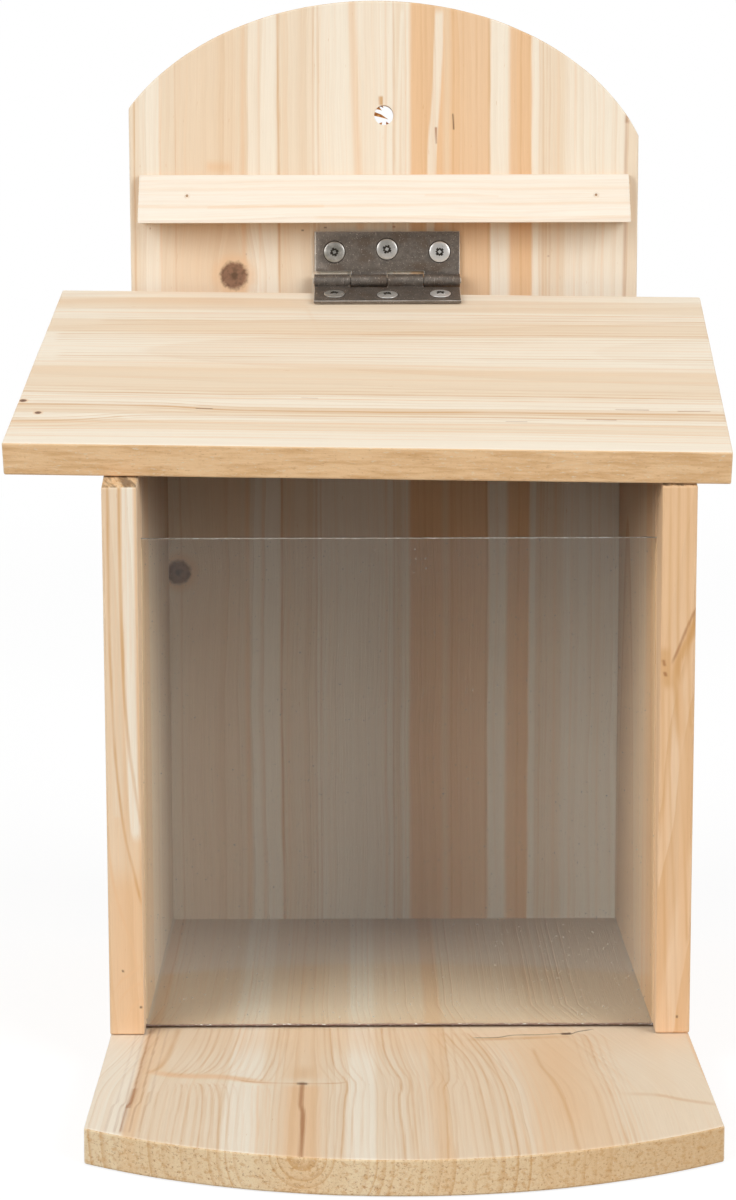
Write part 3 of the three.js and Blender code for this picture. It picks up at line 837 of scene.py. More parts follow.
ROOF_ZONES = [
    ("pale", -110), ("cream", -97), ("pale", -91.5), ("cream", -88), ("pale", -83), ("cream", -74.8),
    ("pale", -58), ("pale", -50.6), ("cream", -34.8), ("pale", -25.3), ("cream", -18), ("pale", -9),
]
ROOF_LINES = [
    Line("peach", 0.4, 3, (-60, -90), (-58, 0), (-61, 90), soft=3),
    Line("peach", 0.4, 2.2, (-15, -90), (-12, -48), (-16, -20), soft=2),
    straight("orange", 0.5, 0.35, -20, 0.5, lean=0.006),
    vein("tan", 0.6, 0.35, (-26.4, -71), (-25.3, -38), (-24.1, 0), (-23, 90), soft=0.5),
    vein("tan", 0.6, 0.35, (-36.1, -81), (-34.9, -38), (-34.3, 0), (-33.4, 90), soft=0.4),
    vein("tan", 0.45, 0.25, (-40.4, -81), (-39.8, -53), (-39.4, 0), (-38.2, 90)),
    straight("orange", 0.4, 0.3, -44.2, 0.4, lean=0.004),
    vein("tan", 0.6, 0.35, (-51.1, -79), (-50.6, -36), (-50.1, 0.8), (-49.5, 90), soft=0.4),
    straight("orange", 0.35, 0.4, -55.5, 0.5, lean=-0.004),
    straight("orange", 0.4, 0.4, -64.8, 0.6, lean=0.003),
    vein("tan", 0.8, 0.45, (-74.3, -90), (-75.2, -44.6), (-74.5, 1.5), (-75.4, 90), soft=0.4),
    straight("orange", 0.6, 0.3, -77.6, 0.4),
    straight("pale", 0.95, 0.5, -81, 0.4),
    vein("tan", 0.85, 0.6, (-82.9, -90), (-83.1, -54), (-85.3, -28), (-85, 10), (-84.4, 90), soft=0.5),
    vein("tan", 0.7, 0.35, (-93.4, -90), (-92.6, -73), (-88.8, -48), (-87.9, 2), (-88.3, 90), soft=0.4),
    straight("orange", 0.6, 0.35, -92.4, 0.5, lean=0.012),
    vein("orange", 0.75, 0.3, (-99.2, -90), (-96.8, -22), (-97, 90), soft=0.3),
    straight("orange", 0.5, 0.3, -101.5, 0.4, lean=0.004),
    dash("bark", 0.8, 0.25, (-84.5, -42.2), (-84.6, -38.2)),
    dash("brown", 0.8, 0.25, (-81.9, 55.6), (-81.9, 63.4)),
    dash("brown", 0.7, 0.25, (-82.5, 70), (-82.4, 77.6)),
    dash("brown", 0.7, 0.22, (-88.3, 48.6), (-88.2, 55.6)),
    dash("brown", 0.5, 0.2, (-90.1, 30), (-90.1, 35)),
    dash("brown", 0.5, 0.2, (-77, -18), (-77.1, -14)),
]


# Shapes made from the frame's solids

def joined_copy(node):
    """A CAD node's solid, with its loose triangles joined into flat faces."""
    made = bmesh.new()
    made.from_mesh(NODES[node].data)
    bmesh.ops.remove_doubles(made, verts=made.verts, dist=1e-6)
    bmesh.ops.dissolve_limit(
        made, angle_limit=math.radians(0.4), verts=made.verts, edges=made.edges)
    return made


def arrises(shape, least_angle, least_length):
    """The edges that stick out at a sharp angle and are at least that long."""
    return [
        edge for edge in shape.edges
        if edge.is_manifold and edge.calc_length() >= least_length
        and edge.calc_face_angle_signed() > least_angle
    ]


def linked_object(name, data):
    """A new object in the scene."""
    made = bpy.data.objects.new(name, data)
    bpy.context.scene.collection.objects.link(made)
    return made


def piece_of(shape, name, materials, crisp=WOOD_CRISP):
    """A piece of the feeder made from a shape, which is used up."""
    # A bevel doesn't leave the faces in the same order each run
    shape.verts.index_update()
    in_order = sorted(shape.faces, key=lambda face: sorted(spot.index for spot in face.verts))
    for rank, face in enumerate(in_order):
        face.index = rank
    shape.faces.sort()
    mesh = bpy.data.meshes.new(name)
    shape.to_mesh(mesh)
    shape.free()
    for polygon in mesh.polygons:
        polygon.use_smooth = True
    mesh.set_sharp_from_angle(angle=crisp)
    for material in materials:
        mesh.materials.append(material)
    return linked_object(name, mesh)


def bevel(shape, edges, width, segments=1, material=-1):
    """Cuts edges back by a width."""
    bmesh.ops.bevel(
        shape, geom=edges, offset=width, offset_type="OFFSET", segments=segments, profile=0.5,
        affect="EDGES", clamp_overlap=False, material=material)


def stray_arrises(shape, node, step, wander, grain):
    """Cuts long arrises into short runs that stray inwards, and gives them back."""
    for edge in arrises(shape, ARRIS_ANGLE, LONG_ARRIS):
        cuts = int(edge.calc_length() / step)
        if cuts:
            bmesh.ops.subdivide_edges(shape, edges=[edge], cuts=cuts)
    low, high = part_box(node)
    middle = (low + high) / 2
    sharp = arrises(shape, ARRIS_ANGLE, LONG_ARRIS / 2)
    for corner in {corner for edge in sharp for corner in edge.verts}:
        stray = noise.noise(corner.co / grain + Vector((high.x, 0.0, high.z)) * 40)
        corner.co += (middle - corner.co).normalized() * wander * (0.5 + 0.5 * stray)
    return [edge for edge in sharp if edge.calc_length() >= LONG_ARRIS]


def sanded_board(node, material, splinters=()):
    """A board like its solid, with arrises eased by hand, so that they stray a little.

    Splinters are (root, tip, width), with places in millimetres; they show torn wood."""
    timber = bpy.context.scene.feeder_timber
    shape = joined_copy(node)
    edges = stray_arrises(shape, node, timber.step, timber.wander, 7 * MM)
    bevel(shape, edges, timber.ease, segments=2)
    for root, tip, width in splinters:
        add_splinter(shape, Vector(root) * MM, Vector(tip) * MM, width * MM)
    materials = [material, torn_wood()] if splinters else [material]
    return piece_of(shape, node + "_finished", materials)


def add_splinter(shape, root, tip, width):
    """A flat spike of torn wood from its root to its tip."""
    run = tip - root
    side = run.cross(Vector((0.0, 1.0, 0.0))).normalized() * width / 2
    deep = Vector((0.0, width / 3, 0.0))
    bend = root.lerp(tip, 0.45) + side * 0.35
    rings = []
    for middle, share in ((root, 1.0), (bend, 0.75)):
        rings.append([
            shape.verts.new(middle + (side * across + deep * through) * share)
            for across, through in ((-1, -1), (1, -1), (1, 1), (-1, 1))
        ])
    point = shape.verts.new(tip)
    made = [shape.faces.new(rings[0][::-1])]
    for index in range(4):
        following = (index + 1) % 4
        made.append(shape.faces.new((
            rings[0][index], rings[0][following], rings[1][following], rings[1][index])))
        made.append(shape.faces.new((rings[1][index], rings[1][following], point)))
    bmesh.ops.recalc_face_normals(shape, faces=made)
    for face in made:
        face.material_index = 1


def torn_wood():
    """Fibres torn loose by the drill; their brown is partly painted shade where a splinter's shadow
    falls.
    """
    finish = Finish("torn_wood")
    x, y, z = finish.local()
    fibre = cloud(x * 1.5, y * 3.0, z * 3.0, detail=3.0)
    shade = mixed(fibre.eased(0.35, 0.65), "brown", "tan")
    finish.set(Base_Color=shade, Roughness=0.8, Specular_IOR_Level=0.2)
    finish.relief(fibre, 0.15, 0.6)
    return finish.material


def settle(piece, body, slot, *nodes):
    """Lets a piece stand for CAD nodes and move with their body. The slot is not used."""
    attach(piece, body)
    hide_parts(*nodes)


class FEEDER_OT_back_board(bpy.types.Operator):
    """Makes the arched back board with its knot and the splinters of its hanging hole"""

    bl_idname = "feeder.back_board"
    bl_label = "Back Board"

    def execute(self, context):
        knots = [Knot(-41.6, 180.4, 3.7), Knot(-57.0, 102.4, 3.4)]
        material = pine(
            "pine_back_board", Board("Z", "X", "Y"), (-150.0, 20.0, 0.0, 0.0), 3.3, BACK_ZONES,
            late=0.18, lines=BACK_LINES, knots=knots, seed=1.0)
        piece = sanded_board("back_board", material, SPLINTERS)
        settle(piece, "box", "pine", "back_board")
        return {"FINISHED"}


class FEEDER_OT_rain_batten(bpy.types.Operator):
    """Makes the wedge-shaped batten that keeps rain off the hinge"""

    bl_idname = "feeder.rain_batten"
    bl_label = "Rain Batten"

    def execute(self, context):
        material = pine(
            "pine_batten", Board("X", "Z", "Y"), (140.0, 60.0, 0.0, 0.0), 3.4,
            [("batten", 0.0)], late=0.16, lines=BATTEN_LINES, seed=2.0, fleck=0.15)
        piece = sanded_board("rain_batten", material)
        settle(piece, "box", "pale_pine", "rain_batten")
        return {"FINISHED"}


class FEEDER_OT_side_boards(bpy.types.Operator):
    """Makes the two side boards that carry the pane and the roof"""

    bl_idname = "feeder.side_boards"
    bl_label = "Side Boards"

    def execute(self, context):
        # Both sides have painted shade on their top end grain, strongest at the front
        left = pine(
            "pine_left_side", Board("Z", "Y", "X"), (20.0, -118.0, 0.05, 0.0), 3.3,
            [("peach", -20.0), ("cream", 20.0)], late=0.35, lines=LEFT_LINES, seed=3.0,
            shaded_ends=0.7)
        right = pine(
            "pine_right_side", Board("Z", "Y", "X"), (60.0, 96.0, 0.05, 0.06), 2.9,
            [("orange", -20.0), ("peach", 20.0)], late=0.4, lines=RIGHT_LINES, seed=4.0,
            shaded_ends=0.7)
        for node, material in (("left_side", left), ("right_side", right)):
            settle(sanded_board(node, material), "box", "pine", node)
        return {"FINISHED"}


class FEEDER_OT_floor_board(bpy.types.Operator):
    """Makes the floor board and its bowed porch"""

    bl_idname = "feeder.floor_board"
    bl_label = "Floor Board"

    def execute(self, context):
        def spread(across, along):
            """Grain lines stand closer together behind the whorl across the porch."""
            behind = (along + 50.0).maths("SMOOTH_MAX", 0.0, 16.0).maths("MINIMUM", 60.0)
            return (across - WHORL) * (behind * 0.006 + 1.0) + WHORL

        material = pine(
            "pine_floor_board", Board("Y", "X", "Z"), (WHORL, 8.0, 0.0, 0.0), 2.6, FLOOR_ZONES,
            late=0.2, drift=0.5, lines=FLOOR_LINES, seed=0.0, spread=spread, calm=47.0,
            aged_ends=(5.0, 75.0))
        piece = sanded_board("floor_board", material)
        settle(piece, "box", "pine", "floor_board")
        return {"FINISHED"}


class FEEDER_OT_roof_board(bpy.types.Operator):
    """Makes the sloping roof board, which hangs from the hinge"""

    bl_idname = "feeder.roof_board"
    bl_label = "Roof Board"

    def execute(self, context):
        turn = Matrix.Rotation(ROOF_SLOPE, 3, "X") @ Matrix.Rotation(ROOF_SKEW, 3, "Z")
        board = Board("X", "Y", "Z", HINGE_AXIS / MM, turn, sawn=(0.0, -1.0, 0.0))
        knots = [Knot(-80.8, -83.2, 0.9), Knot(-88.1, -78.6, 0.8)]
        material = pine(
            "pine_roof_board", board, (-46.0, -60.0, 0.015, 0.03), 2.6, ROOF_ZONES,
            late=0.14, lines=ROOF_LINES, knots=knots, seed=5.0)
        piece = sanded_board("roof_board", material)
        settle(piece, "roof", "pine", "roof_board")
        return {"FINISHED"}


# Clear pane

def clear_sheet():
    """Clear sheet with a little dust. Lamps shine through it."""
    pane = bpy.context.scene.feeder_pane
    finish = Finish("clear_sheet_face")
    x, y, z = finish.local()
    dust = cloud(x * 2.2, z * 2.2, y, detail=1.0).eased(0.72, 0.8) * pane.dust
    smear = cloud(x / 30, z / 12, y, detail=3.0)
    finish.set(
        Base_Color=mixed(dust * 0.5, tuple(pane.tint), (0.8, 0.8, 0.78)),
        Roughness=(dust * 0.3 + smear.eased(0.5, 0.8) * 0.05 + 0.02),
        Transmission_Weight=(1.0 - dust), IOR=1.49)
    clear = node_in(finish.tree, "ShaderNodeBsdfTransparent", (0.86, 0.85, 0.83))
    shadow = node_in(finish.tree, "ShaderNodeLightPath", output="Is Shadow Ray")
    blend = shadow.node("ShaderNodeMixShader", shadow, Field(finish.shader.outputs[0]), clear)
    feed(finish.output.inputs["Surface"], blend)
    return finish.material


def frosted_edge():
    """The sheet's sawn edge, whitish and rough, with painted shade and a painted reflection of the wood
    along its foot.
    """
    finish = Finish("clear_sheet_edge")
    x, y, z = finish.local()
    chips = cloud(x * 0.9, y * 2.0, z * 0.9, detail=3.0).eased(0.45, 0.7)
    # Painted shade and painted reflection of the wood: the edge turns brown and opaque towards the
    # sheet's foot
    shaded_foot = z.eased(14.0, 10.0)
    edge = mixed(chips, screen(190, 180, 168), screen(250, 249, 246))
    edge = mixed(shaded_foot * chips.eased(0.95, 0.6), edge, screen(150, 120, 106))
    finish.set(
        Base_Color=edge, Roughness=(0.6 - chips * 0.15), IOR=1.49,
        Transmission_Weight=(0.4 - shaded_foot * 0.4))
    finish.relief(chips, 0.1, 0.6)
    return finish.material


class FEEDER_OT_front_pane(bpy.types.Operator):
    """Makes the clear pane that slides in the side boards' grooves"""

    bl_idname = "feeder.front_pane"
    bl_label = "Front Pane"

    def execute(self, context):
        shape = joined_copy("front_pane")
        pane = context.scene.feeder_pane
        edges = stray_arrises(shape, "front_pane", pane.step, pane.chips, 2.2 * MM)
        bevel(shape, edges, pane.ease, material=1)
        flat = Vector((0.0, -math.cos(PANE_LEAN), math.sin(PANE_LEAN)))
        for face in shape.faces:
            face.material_index = int(abs(face.normal.dot(flat)) < 0.9)
        piece = piece_of(shape, "front_pane_finished", [clear_sheet(), frosted_edge()])
        settle(piece, "pane", "clear_sheet", "front_pane")
        return {"FINISHED"}


# Hinge

def metal(name, colour, stain, roughness, metallic=0.9, scratches=0.4, seed=0.0, gleam=0.0):
    """Metal with stains, fine scratches and an uneven gloss. A gleam brightens its right side."""
    finish = Finish(name)
    x, y, z = finish.local()
    mottle = cloud(x / 1.2, z / 1.2, y / 1.2 + seed, detail=4.0, roughness=0.7)
    patch = cloud(x / 5.0, z / 4.0, y / 4.0 + seed + 4.0, detail=2.0)
    lines = cloud(x * 0.35 + z * 3.0, z * 0.35 - x * 3.0, y + seed, detail=2.0).eased(0.62, 0.74)
    cross = cloud(x * 3.2 + z * 0.3, z * 0.5 - x * 0.2, y + seed + 2.0, detail=2.0).eased(0.66, 0.78)
    base = mixed(mottle.eased(0.35, 0.7), tuple(v * 0.72 for v in colour), colour)
    base = mixed(patch.eased(0.48, 0.7) * 0.7, base, stain)
    if gleam:
        base = mixed(x.eased(-16.0, 13.0) * gleam, base, screen(250, 250, 248))
    bright = (lines + cross).maths("MINIMUM", 1.0) * scratches
    base = mixed(bright, base, tuple(min(1.0, v * 2.1 + 0.1) for v in colour))
    finish.set(
        Base_Color=base, Metallic=metallic,
        Roughness=(roughness + (mottle - 0.5) * 0.35 - bright * 0.1))
    finish.relief(mottle * 0.7 + bright * 0.3, 0.05, 0.5)
    return finish.material


class FEEDER_OT_hinge(bpy.types.Operator):
    """Makes the hinge's two leaves with a painted highlight on their edges, and its pin in the same
    bright metal
    """

    bl_idname = "feeder.hinge"
    bl_label = "Hinge"

    def execute(self, context):
        fittings = context.scene.feeder_fittings
        aged = metal(
            "aged_steel_plate", tuple(fittings.steel), tuple(fittings.rust), 0.48, metallic=0.75,
            scratches=0.75)
        # Painted highlight: bright metal on the plates' narrow edges, the upper leaf's left end and the
        # whole pin
        worn = metal(
            "aged_steel_worn", tuple(fittings.worn), tuple(fittings.steel), 0.4, metallic=0.3,
            scratches=0.2, seed=3.0)
        for part, body in (("upper", "box"), ("lower", "roof")):
            node = "hinge_{}_leaf".format(part)
            shape = joined_copy(node)
            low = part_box(node)[0]
            end = [
                edge for edge in arrises(shape, PLATE_ANGLE, 6 * MM)
                if part == "upper" and max(corner.co.x for corner in edge.verts) < low.x + 0.1 * MM
                and min(corner.co.y for corner in edge.verts) < low.y + 4 * MM
            ]
            bevel(shape, end, fittings.worn_ease, material=1)
            bevel(shape, arrises(shape, PLATE_ANGLE, 0.8 * MM), fittings.plate_ease, material=1)
            piece = piece_of(shape, node + "_finished", [aged, worn], crisp=PLATE_CRISP)
            settle(piece, body, "aged_steel", node)
        pin = joined_copy("hinge_pin")
        piece = piece_of(pin, "hinge_pin_finished", [worn], crisp=PLATE_CRISP)
        settle(piece, body_of(NODES["hinge_pin"])[0], "aged_steel", "hinge_pin")
        return {"FINISHED"}


# Fasteners, repeated by Geometry Nodes

class Shapes:
    """A Geometry Nodes tree under way, whose inputs are named sizes in metres."""

    def __init__(self, name, sizes):
        self.tree = bpy.data.node_groups.new(name, "GeometryNodeTree")
        self.socket("Places", "INPUT", "Geometry")
        self.socket("Material", "INPUT", "Material")
        # Filler for the brads' dabs, and painted shade for the walls of the screws' recess
        self.socket("Filler", "INPUT", "Material")
        for size in sizes:
            self.socket(size, "INPUT", "Float")
        self.socket("Fasteners", "OUTPUT", "Geometry")
        self.given = self.tree.nodes.new("NodeGroupInput")
        self.sizes = {size: Field(self.given.outputs[size]) for size in sizes}
        self.places = Field(self.given.outputs["Places"])

    def socket(self, name, way, kind):
        return self.tree.interface.new_socket(
            name, in_out=way, socket_type="NodeSocket" + kind)

    def add(self, kind, **terms):
        """The output of a new node. Names with a capital are sockets, the others settings."""
        made = self.tree.nodes.new(kind)
        for name, term in terms.items():
            if name[0].isupper():
                feed(made.inputs[name.replace("_", " ")], term)
            else:
                setattr(made, name, term)
        return Field(made.outputs[0])

    def joined(self, *parts):
        made = self.tree.nodes.new("GeometryNodeJoinGeometry")
        for part in parts:
            self.tree.links.new(part.socket, made.inputs[0])
        return Field(made.outputs[0])

    def head(self, radius, rise, rim):
        """A low dome that sticks out by rise, with a flat underside rim below its widest part."""
        ball = self.add("GeometryNodeMeshUVSphere", Segments=40, Rings=24, Radius=1.0)
        lens = self.add("GeometryNodeTransform", Geometry=ball, Scale=place(radius, radius, rise))
        x, y, z = self.add("GeometryNodeInputPosition").parts()
        return self.add(
            "GeometryNodeSetPosition", Geometry=lens,
            Position=place(x, y, z.maths("MAXIMUM", rim * -1.0)))

    def raised(self, part, height):
        """The part, moved up by a height."""
        return self.add(
            "GeometryNodeTransform", Geometry=part, Translation=place(0.0, 0.0, height))

    def coated(self, part, name="Material"):
        """The part in the material of that input."""
        return self.add(
            "GeometryNodeSetMaterial", Geometry=part, Material=Field(self.given.outputs[name]))

    def boolean(self, operation, *parts):
        """What is left of the parts: their union, or the first without the others."""
        made = self.tree.nodes.new("GeometryNodeMeshBoolean")
        made.operation = operation
        made.solver = "EXACT"
        if operation == "DIFFERENCE":
            feed(made.inputs["Mesh 1"], parts[0])
            parts = parts[1:]
        for part in parts:
            self.tree.links.new(part.socket, made.inputs["Mesh 2"])
        return Field(made.outputs[0])

    def shank(self, radius, length, tip):
        """A shank of that length below the origin, which ends in a point of length tip."""
        rod = self.add(
            "GeometryNodeMeshCylinder", Vertices=16, Radius=radius, Depth=length - tip)
        point = self.add(
            "GeometryNodeMeshCone", Vertices=16, Radius_Top=radius, Radius_Bottom=radius * 0.1,
            Depth=tip)
        return self.joined(
            self.raised(rod, (length - tip) * -0.5), self.raised(point, length * -1.0))

    def finish(self, fastener):
        """Sets a fastener at each place, along its aim, turned by its spin and as long as its
        share of the full length."""
        smooth = self.add("GeometryNodeSetShadeSmooth", Geometry=fastener, Shade_Smooth=True)
        blunt = self.add("GeometryNodeInputMeshEdgeAngle").maths("LESS_THAN", FASTENER_CRISP)
        smooth = self.add(
            "GeometryNodeSetShadeSmooth", domain="EDGE", Geometry=smooth, Shade_Smooth=blunt)
        aim, spin, share = (
            self.add("GeometryNodeInputNamedAttribute", data_type=kind, Name=name)
            for name, kind in (("aim", "FLOAT_VECTOR"), ("spin", "FLOAT"), ("share", "FLOAT")))
        turned = self.add("FunctionNodeAlignRotationToVector", axis="Z", Vector=aim)
        turned = self.add(
            "FunctionNodeRotateRotation", rotation_space="LOCAL", Rotation=turned,
            Rotate_By=place(0.0, 0.0, spin))
        set_out = self.add(
            "GeometryNodeInstanceOnPoints", Rotation=turned, Instance=smooth,
            Points=self.add("GeometryNodeMeshToPoints", Mesh=self.places),
            Scale=place(1.0, 1.0, share))
        real = self.add("GeometryNodeRealizeInstances", Geometry=set_out)
        result = self.tree.nodes.new("NodeGroupOutput")
        feed(result.inputs[0], real)
        return self.tree


def screw_tree():
    """Screws with a low domed head and a cross recess, whose floor stands up in the middle. The recess
    walls carry painted shade.
    """
    made = Shapes("feeder_screws", [
        "Head Radius", "Dome", "Rim", "Shank Radius", "Length", "Tip", "Recess Reach",
        "Recess Width", "Recess Depth", "Socket"])
    size = made.sizes
    head = made.head(size["Head Radius"], size["Dome"], size["Rim"])
    head = made.boolean(
        "UNION", head, made.shank(size["Shank Radius"], size["Length"], size["Tip"]))
    reach, width, depth, socket = (
        size[name] for name in ("Recess Reach", "Recess Width", "Recess Depth", "Socket"))
    head = made.coated(head)
    # The cutters carry the second material, so the recess walls show painted shade
    for box in ((socket, socket, depth), (reach, width, depth * 2.0), (width, reach, depth * 2.0)):
        arm = made.raised(made.add("GeometryNodeMeshCube", Size=place(*box)), size["Dome"])
        head = made.boolean("DIFFERENCE", head, made.coated(arm, "Filler"))
    floor = made.add("GeometryNodeMeshCube", Size=place(socket * 0.5, socket * 0.5, depth))
    floor = made.raised(floor, size["Dome"] - depth * 0.8)
    return made.finish(made.boolean("UNION", head, made.coated(floor)))


def brad_tree():
    """Brads with a small flat head, in a dab of filler."""
    made = Shapes("feeder_brads", [
        "Head Radius", "Dome", "Rim", "Shank Radius", "Length", "Tip", "Dab Radius",
        "Dab Thickness"])
    size = made.sizes
    head = made.head(size["Head Radius"], size["Dome"], size["Rim"])
    shank = made.shank(size["Shank Radius"], size["Length"], size["Tip"])
    dab = made.add(
        "GeometryNodeMeshCylinder", Vertices=24, Radius=size["Dab Radius"],
        Depth=size["Dab Thickness"])
    dab = made.coated(made.raised(dab, size["Dab Thickness"] * -0.5), "Filler")
    return made.finish(made.joined(made.coated(made.joined(head, shank)), dab))


def seat_of(node, aim, dome, length, spin=0.0):
    """Where a fastener's solid has its head, less the dome, with its aim, spin and the share of
    that length that it has."""
    spots = [vertex.co for vertex in NODES[node].data.vertices]
    heights = [spot.dot(aim) for spot in spots]
    top = [spot for spot, height in zip(spots, heights) if height > max(heights) - 0.02 * MM]
    middle = sum(top, Vector()) / len(top)
    reach = max(heights) - min(heights) - dome
    return middle - aim * dome, aim, spin, min(1.0, reach / length)


def set_fasteners(name, tree, inputs, seats):
    """One mesh of fasteners; seats lists each one's place, aim, spin and share of the length."""
    mesh = bpy.data.meshes.new(name + "_places")
    spots, aims, spins, shares = zip(*seats)
    mesh.from_pydata(spots, [], [])
    kept = mesh.attributes.new("aim", "FLOAT_VECTOR", "POINT")
    kept.data.foreach_set("vector", [value for aim in aims for value in aim])
    for word, values in (("spin", spins), ("share", shares)):
        kept = mesh.attributes.new(word, "FLOAT", "POINT")
        kept.data.foreach_set("value", values)
    holder = linked_object(name + "_places", mesh)
    modifier = holder.modifiers.new("Fasteners", "NODES")
    modifier.node_group = tree
    for item in tree.interface.items_tree:
        if item.name in inputs:
            modifier[item.identifier] = inputs[item.name]
    graph = bpy.context.evaluated_depsgraph_get()
    made = bpy.data.meshes.new_from_object(holder.evaluated_get(graph))
    made.name = name
    if not made.polygons:
        raise RuntimeError(name + " came out empty")
    holder.modifiers.remove(modifier)
    bpy.data.objects.remove(holder)
    return linked_object(name, made)


class FEEDER_OT_screws(bpy.types.Operator):
    """Makes the hinge's six screws"""

    bl_idname = "feeder.screws"
    bl_label = "Hinge Screws"

    def execute(self, context):
        fittings = context.scene.feeder_fittings
        zinc = metal(
            "zinc_screws", tuple(fittings.zinc), screen(150, 148, 132), 0.34, metallic=0.7,
            scratches=0.3, seed=6.0, gleam=0.8)
        # Painted shade: a dark metal for the walls of the cross recess
        recess = metal(
            "zinc_recess", screen(92, 86, 76), screen(70, 62, 52), 0.6, metallic=0.4, seed=7.0)
        tree = screw_tree()
        inputs = {
            "Material": zinc, "Filler": recess,
            "Head Radius": fittings.head_radius, "Dome": fittings.head_dome, "Rim": 0.14 * MM,
            "Shank Radius": 1.2 * MM, "Length": 5.4 * MM, "Tip": 1.4 * MM,
            "Recess Reach": fittings.recess_reach, "Recess Width": fittings.recess_width,
            "Recess Depth": 0.9 * MM, "Socket": fittings.socket,
        }
        upper_aim = Vector((0.0, -1.0, 0.0))
        lower_aim = Vector((0.0, -math.sin(ROOF_SLOPE), math.cos(ROOF_SLOPE)))
        spins = {"left": 0.35, "middle": 1.1, "right": 0.7}
        for part, body, aim in (("upper", "box", upper_aim), ("lower", "roof", lower_aim)):
            nodes = ["hinge_screw_{}_{}".format(part, side) for side in spins]
            seats = [
                seat_of(node, aim, fittings.head_dome, inputs["Length"], spin)
                for node, spin in zip(nodes, spins.values())
            ]
            piece = set_fasteners("hinge_screws_" + part, tree, inputs, seats)
            settle(piece, body, "zinc", *nodes)
        return {"FINISHED"}


class FEEDER_OT_brads(bpy.types.Operator):
    """Makes the brads that hold the batten and the box together"""

    bl_idname = "feeder.brads"
    bl_label = "Brads"

    def execute(self, context):
        fittings = context.scene.feeder_fittings
        steel = metal(
            "brad_steel_heads", tuple(fittings.brad), screen(160, 124, 90), 0.5, metallic=0.3,
            scratches=0.1, seed=8.0)
        filler = Finish("brad_filler")
        filler.set(Base_Color="batten", Roughness=0.75, Specular_IOR_Level=0.2)
        inputs = {
            "Material": steel, "Filler": filler.material, "Head Radius": fittings.brad_radius,
            "Dome": 0.08 * MM, "Rim": 0.06 * MM, "Shank Radius": 0.33 * MM, "Length": 19.0 * MM,
            "Tip": 0.8 * MM, "Dab Radius": 0.76 * MM, "Dab Thickness": 0.3 * MM,
        }
        aims = {"batten": (0.0, -1.0, 0.0), "back": (0.0, 1.0, 0.0), "floor": (0.0, 0.0, -1.0)}
        nodes = [node for node in NODES if "_brad_" in node]
        seats = [
            seat_of(node, Vector(aims[node.split("_")[0]]), inputs["Dome"], inputs["Length"])
            for node in nodes
        ]
        piece = set_fasteners("brads", brad_tree(), inputs, seats)
        settle(piece, "box", "brad_steel", *nodes)
        return {"FINISHED"}


# Stage

def seen_share(tree, behind):
    """1 for rays that see the plain white: from the camera, through glass and, where the backdrop
    lies behind the feeder, from gloss. The room in front of it is dim, and so is all that lights
    the wood, even through the pane."""
    path = tree.nodes.new("ShaderNodeLightPath")
    camera, gloss, glass, scattered = (
        Field(path.outputs[name])
        for name in ("Is Camera Ray", "Is Glossy Ray", "Is Transmission Ray", "Diffuse Depth"))
    seen = (camera + gloss * behind + glass).maths("MINIMUM", 1.0)
    return seen * scattered.maths("LESS_THAN", 0.5)


def table_top(stage):
    """A pale table that keeps the feeder's shadow and turns plain white further off."""
    material, tree = blank_material("stage_table")
    spot = node_in(tree, "ShaderNodeTexCoord", output="Object")
    away = spot.vector_maths("LENGTH", output=1).eased(0.35, 1.2)
    seen = seen_share(tree, spot.parts()[1].eased(-0.3, -0.05))
    lit = node_in(tree, "ShaderNodeBsdfDiffuse", tuple(stage.floor))
    lift = node_in(tree, "ShaderNodeEmission", None, seen * stage.floor_lift)
    near = node_in(tree, "ShaderNodeAddShader", lit, lift)
    white = node_in(tree, "ShaderNodeEmission")
    blend = node_in(tree, "ShaderNodeMixShader", away * seen, near, white)
    feed(tree.nodes.new("ShaderNodeOutputMaterial").inputs["Surface"], blend)
    return material


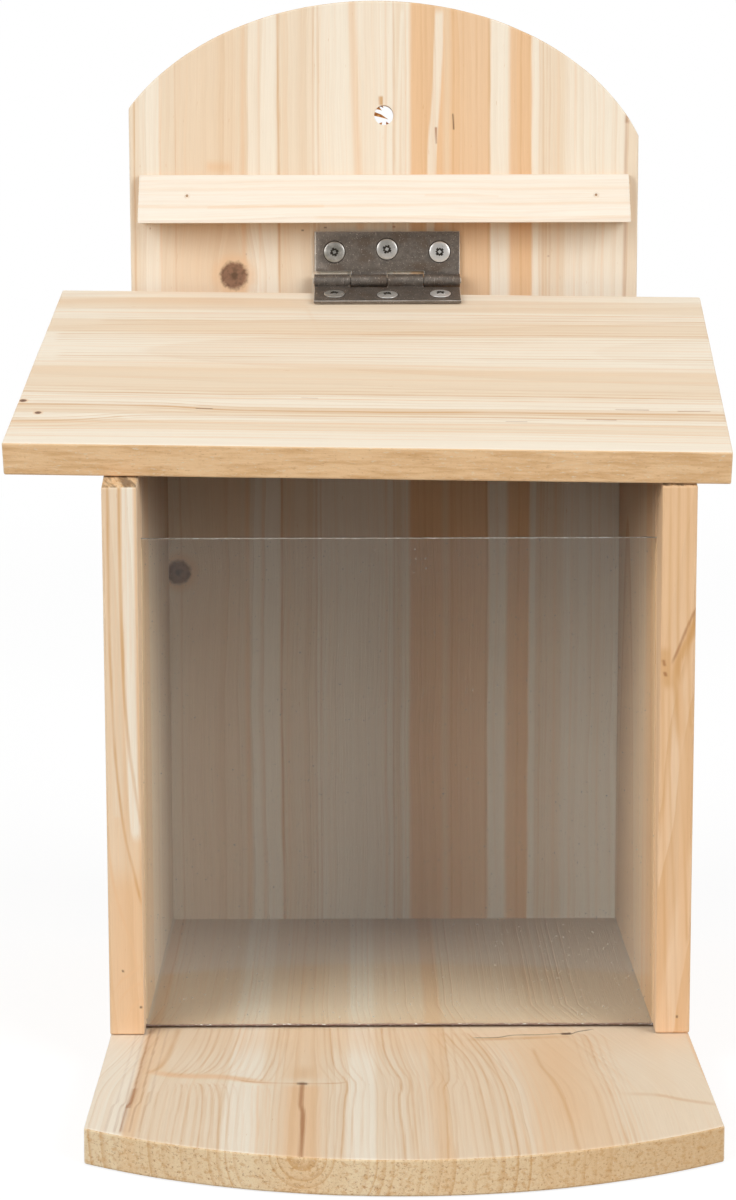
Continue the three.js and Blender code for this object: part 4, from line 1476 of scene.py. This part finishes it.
class FEEDER_OT_stage(bpy.types.Operator):
    """Sets the table, the soft studio light and the camera"""

    bl_idname = "feeder.stage"
    bl_label = "Stage"

    def execute(self, context):
        scene = context.scene
        stage = scene.feeder_stage
        scene.view_settings.view_transform = "Standard"

        shape = bmesh.new()
        bmesh.ops.create_grid(shape, x_segments=1, y_segments=1, size=TABLE_REACH)
        table = piece_of(shape, "stage_table", [table_top(stage)])
        table.location.z = -0.2 * MM

        world = bpy.data.worlds.new("stage_light")
        scene.world = world
        world.use_nodes = True
        tree = world.node_tree
        background = next(node for node in tree.nodes if node.type == "BACKGROUND")
        background.inputs["Color"].default_value = (1.0, 1.0, 1.0, 1.0)
        direction = node_in(tree, "ShaderNodeTexCoord", output="Generated").parts()
        overhead = direction[2].eased(0.05, 0.75)
        cast = (overhead * (1.0 - stage.low_share) + stage.low_share) * stage.ambient
        seen = seen_share(tree, direction[1].eased(-0.4, 0.1))
        feed(background.inputs["Strength"], cast + seen * (1.0 - cast))

        for side, azimuth in (("left", -stage.spread), ("right", stage.spread)):
            lamp = bpy.data.lights.new("stage_key_" + side, "AREA")
            lamp.energy = stage.key
            lamp.shape = "SQUARE"
            lamp.size = LAMP_WIDTH
            key = linked_object("stage_key_" + side, lamp)
            aim = Vector((
                math.sin(azimuth) * math.cos(stage.rise), -math.cos(azimuth) * math.cos(stage.rise),
                math.sin(stage.rise)))
            key.location = LAMP_TARGET + aim * LAMP_DISTANCE
            key.rotation_euler = aim.to_track_quat("Z", "Y").to_euler()

        camera = linked_object("stage_camera", bpy.data.cameras.new("stage_camera"))
        camera.data.sensor_fit = "AUTO"
        camera.data.sensor_width = 36.0
        camera.data.lens = stage.lens
        camera.data.clip_start = 0.01
        camera.data.clip_end = 50.0
        turn = (Matrix.Rotation(-stage.yaw, 3, "Z") @ Matrix.Rotation(math.pi / 2 - stage.pitch, 3, "X")
                @ Matrix.Rotation(-stage.roll, 3, "Z"))
        camera.matrix_world = Matrix.Translation(stage.eye) @ turn.to_4x4()
        scene.camera = camera
        return {"FINISHED"}


class FEEDER_PT_panel(bpy.types.Panel):
    """Lists the feeder's makers and settings"""

    bl_idname = "FEEDER_PT_panel"
    bl_label = "Feeder Box"
    bl_space_type = "VIEW_3D"
    bl_region_type = "UI"
    bl_category = "Feeder"

    def draw(self, context):
        for operator in MAKERS:
            self.layout.operator(operator.bl_idname)
        for group, _ in SETTINGS:
            box = self.layout.box()
            settings = getattr(context.scene, group)
            for name in settings.__annotations__:
                box.prop(settings, name)


SETTINGS = (
    ("feeder_timber", FeederTimber),
    ("feeder_fittings", FeederFittings),
    ("feeder_pane", FeederPane),
    ("feeder_stage", FeederStage),
)
MAKERS = (
    FEEDER_OT_back_board,
    FEEDER_OT_rain_batten,
    FEEDER_OT_side_boards,
    FEEDER_OT_floor_board,
    FEEDER_OT_roof_board,
    FEEDER_OT_front_pane,
    FEEDER_OT_hinge,
    FEEDER_OT_screws,
    FEEDER_OT_brads,
    FEEDER_OT_stage,
)


def register():
    for name, kind in SETTINGS:
        bpy.utils.register_class(kind)
        setattr(bpy.types.Scene, name, PointerProperty(type=kind))
    for kind in (*MAKERS, FEEDER_PT_panel):
        bpy.utils.register_class(kind)


def unregister():
    for kind in reversed((*MAKERS, FEEDER_PT_panel)):
        bpy.utils.unregister_class(kind)
    for name, kind in reversed(SETTINGS):
        delattr(bpy.types.Scene, name)
        bpy.utils.unregister_class(kind)


def main():
    register()
    for maker in MAKERS:
        group, action = maker.bl_idname.split(".")
        getattr(getattr(bpy.ops, group), action)()


if __name__ == "__main__":
    main()
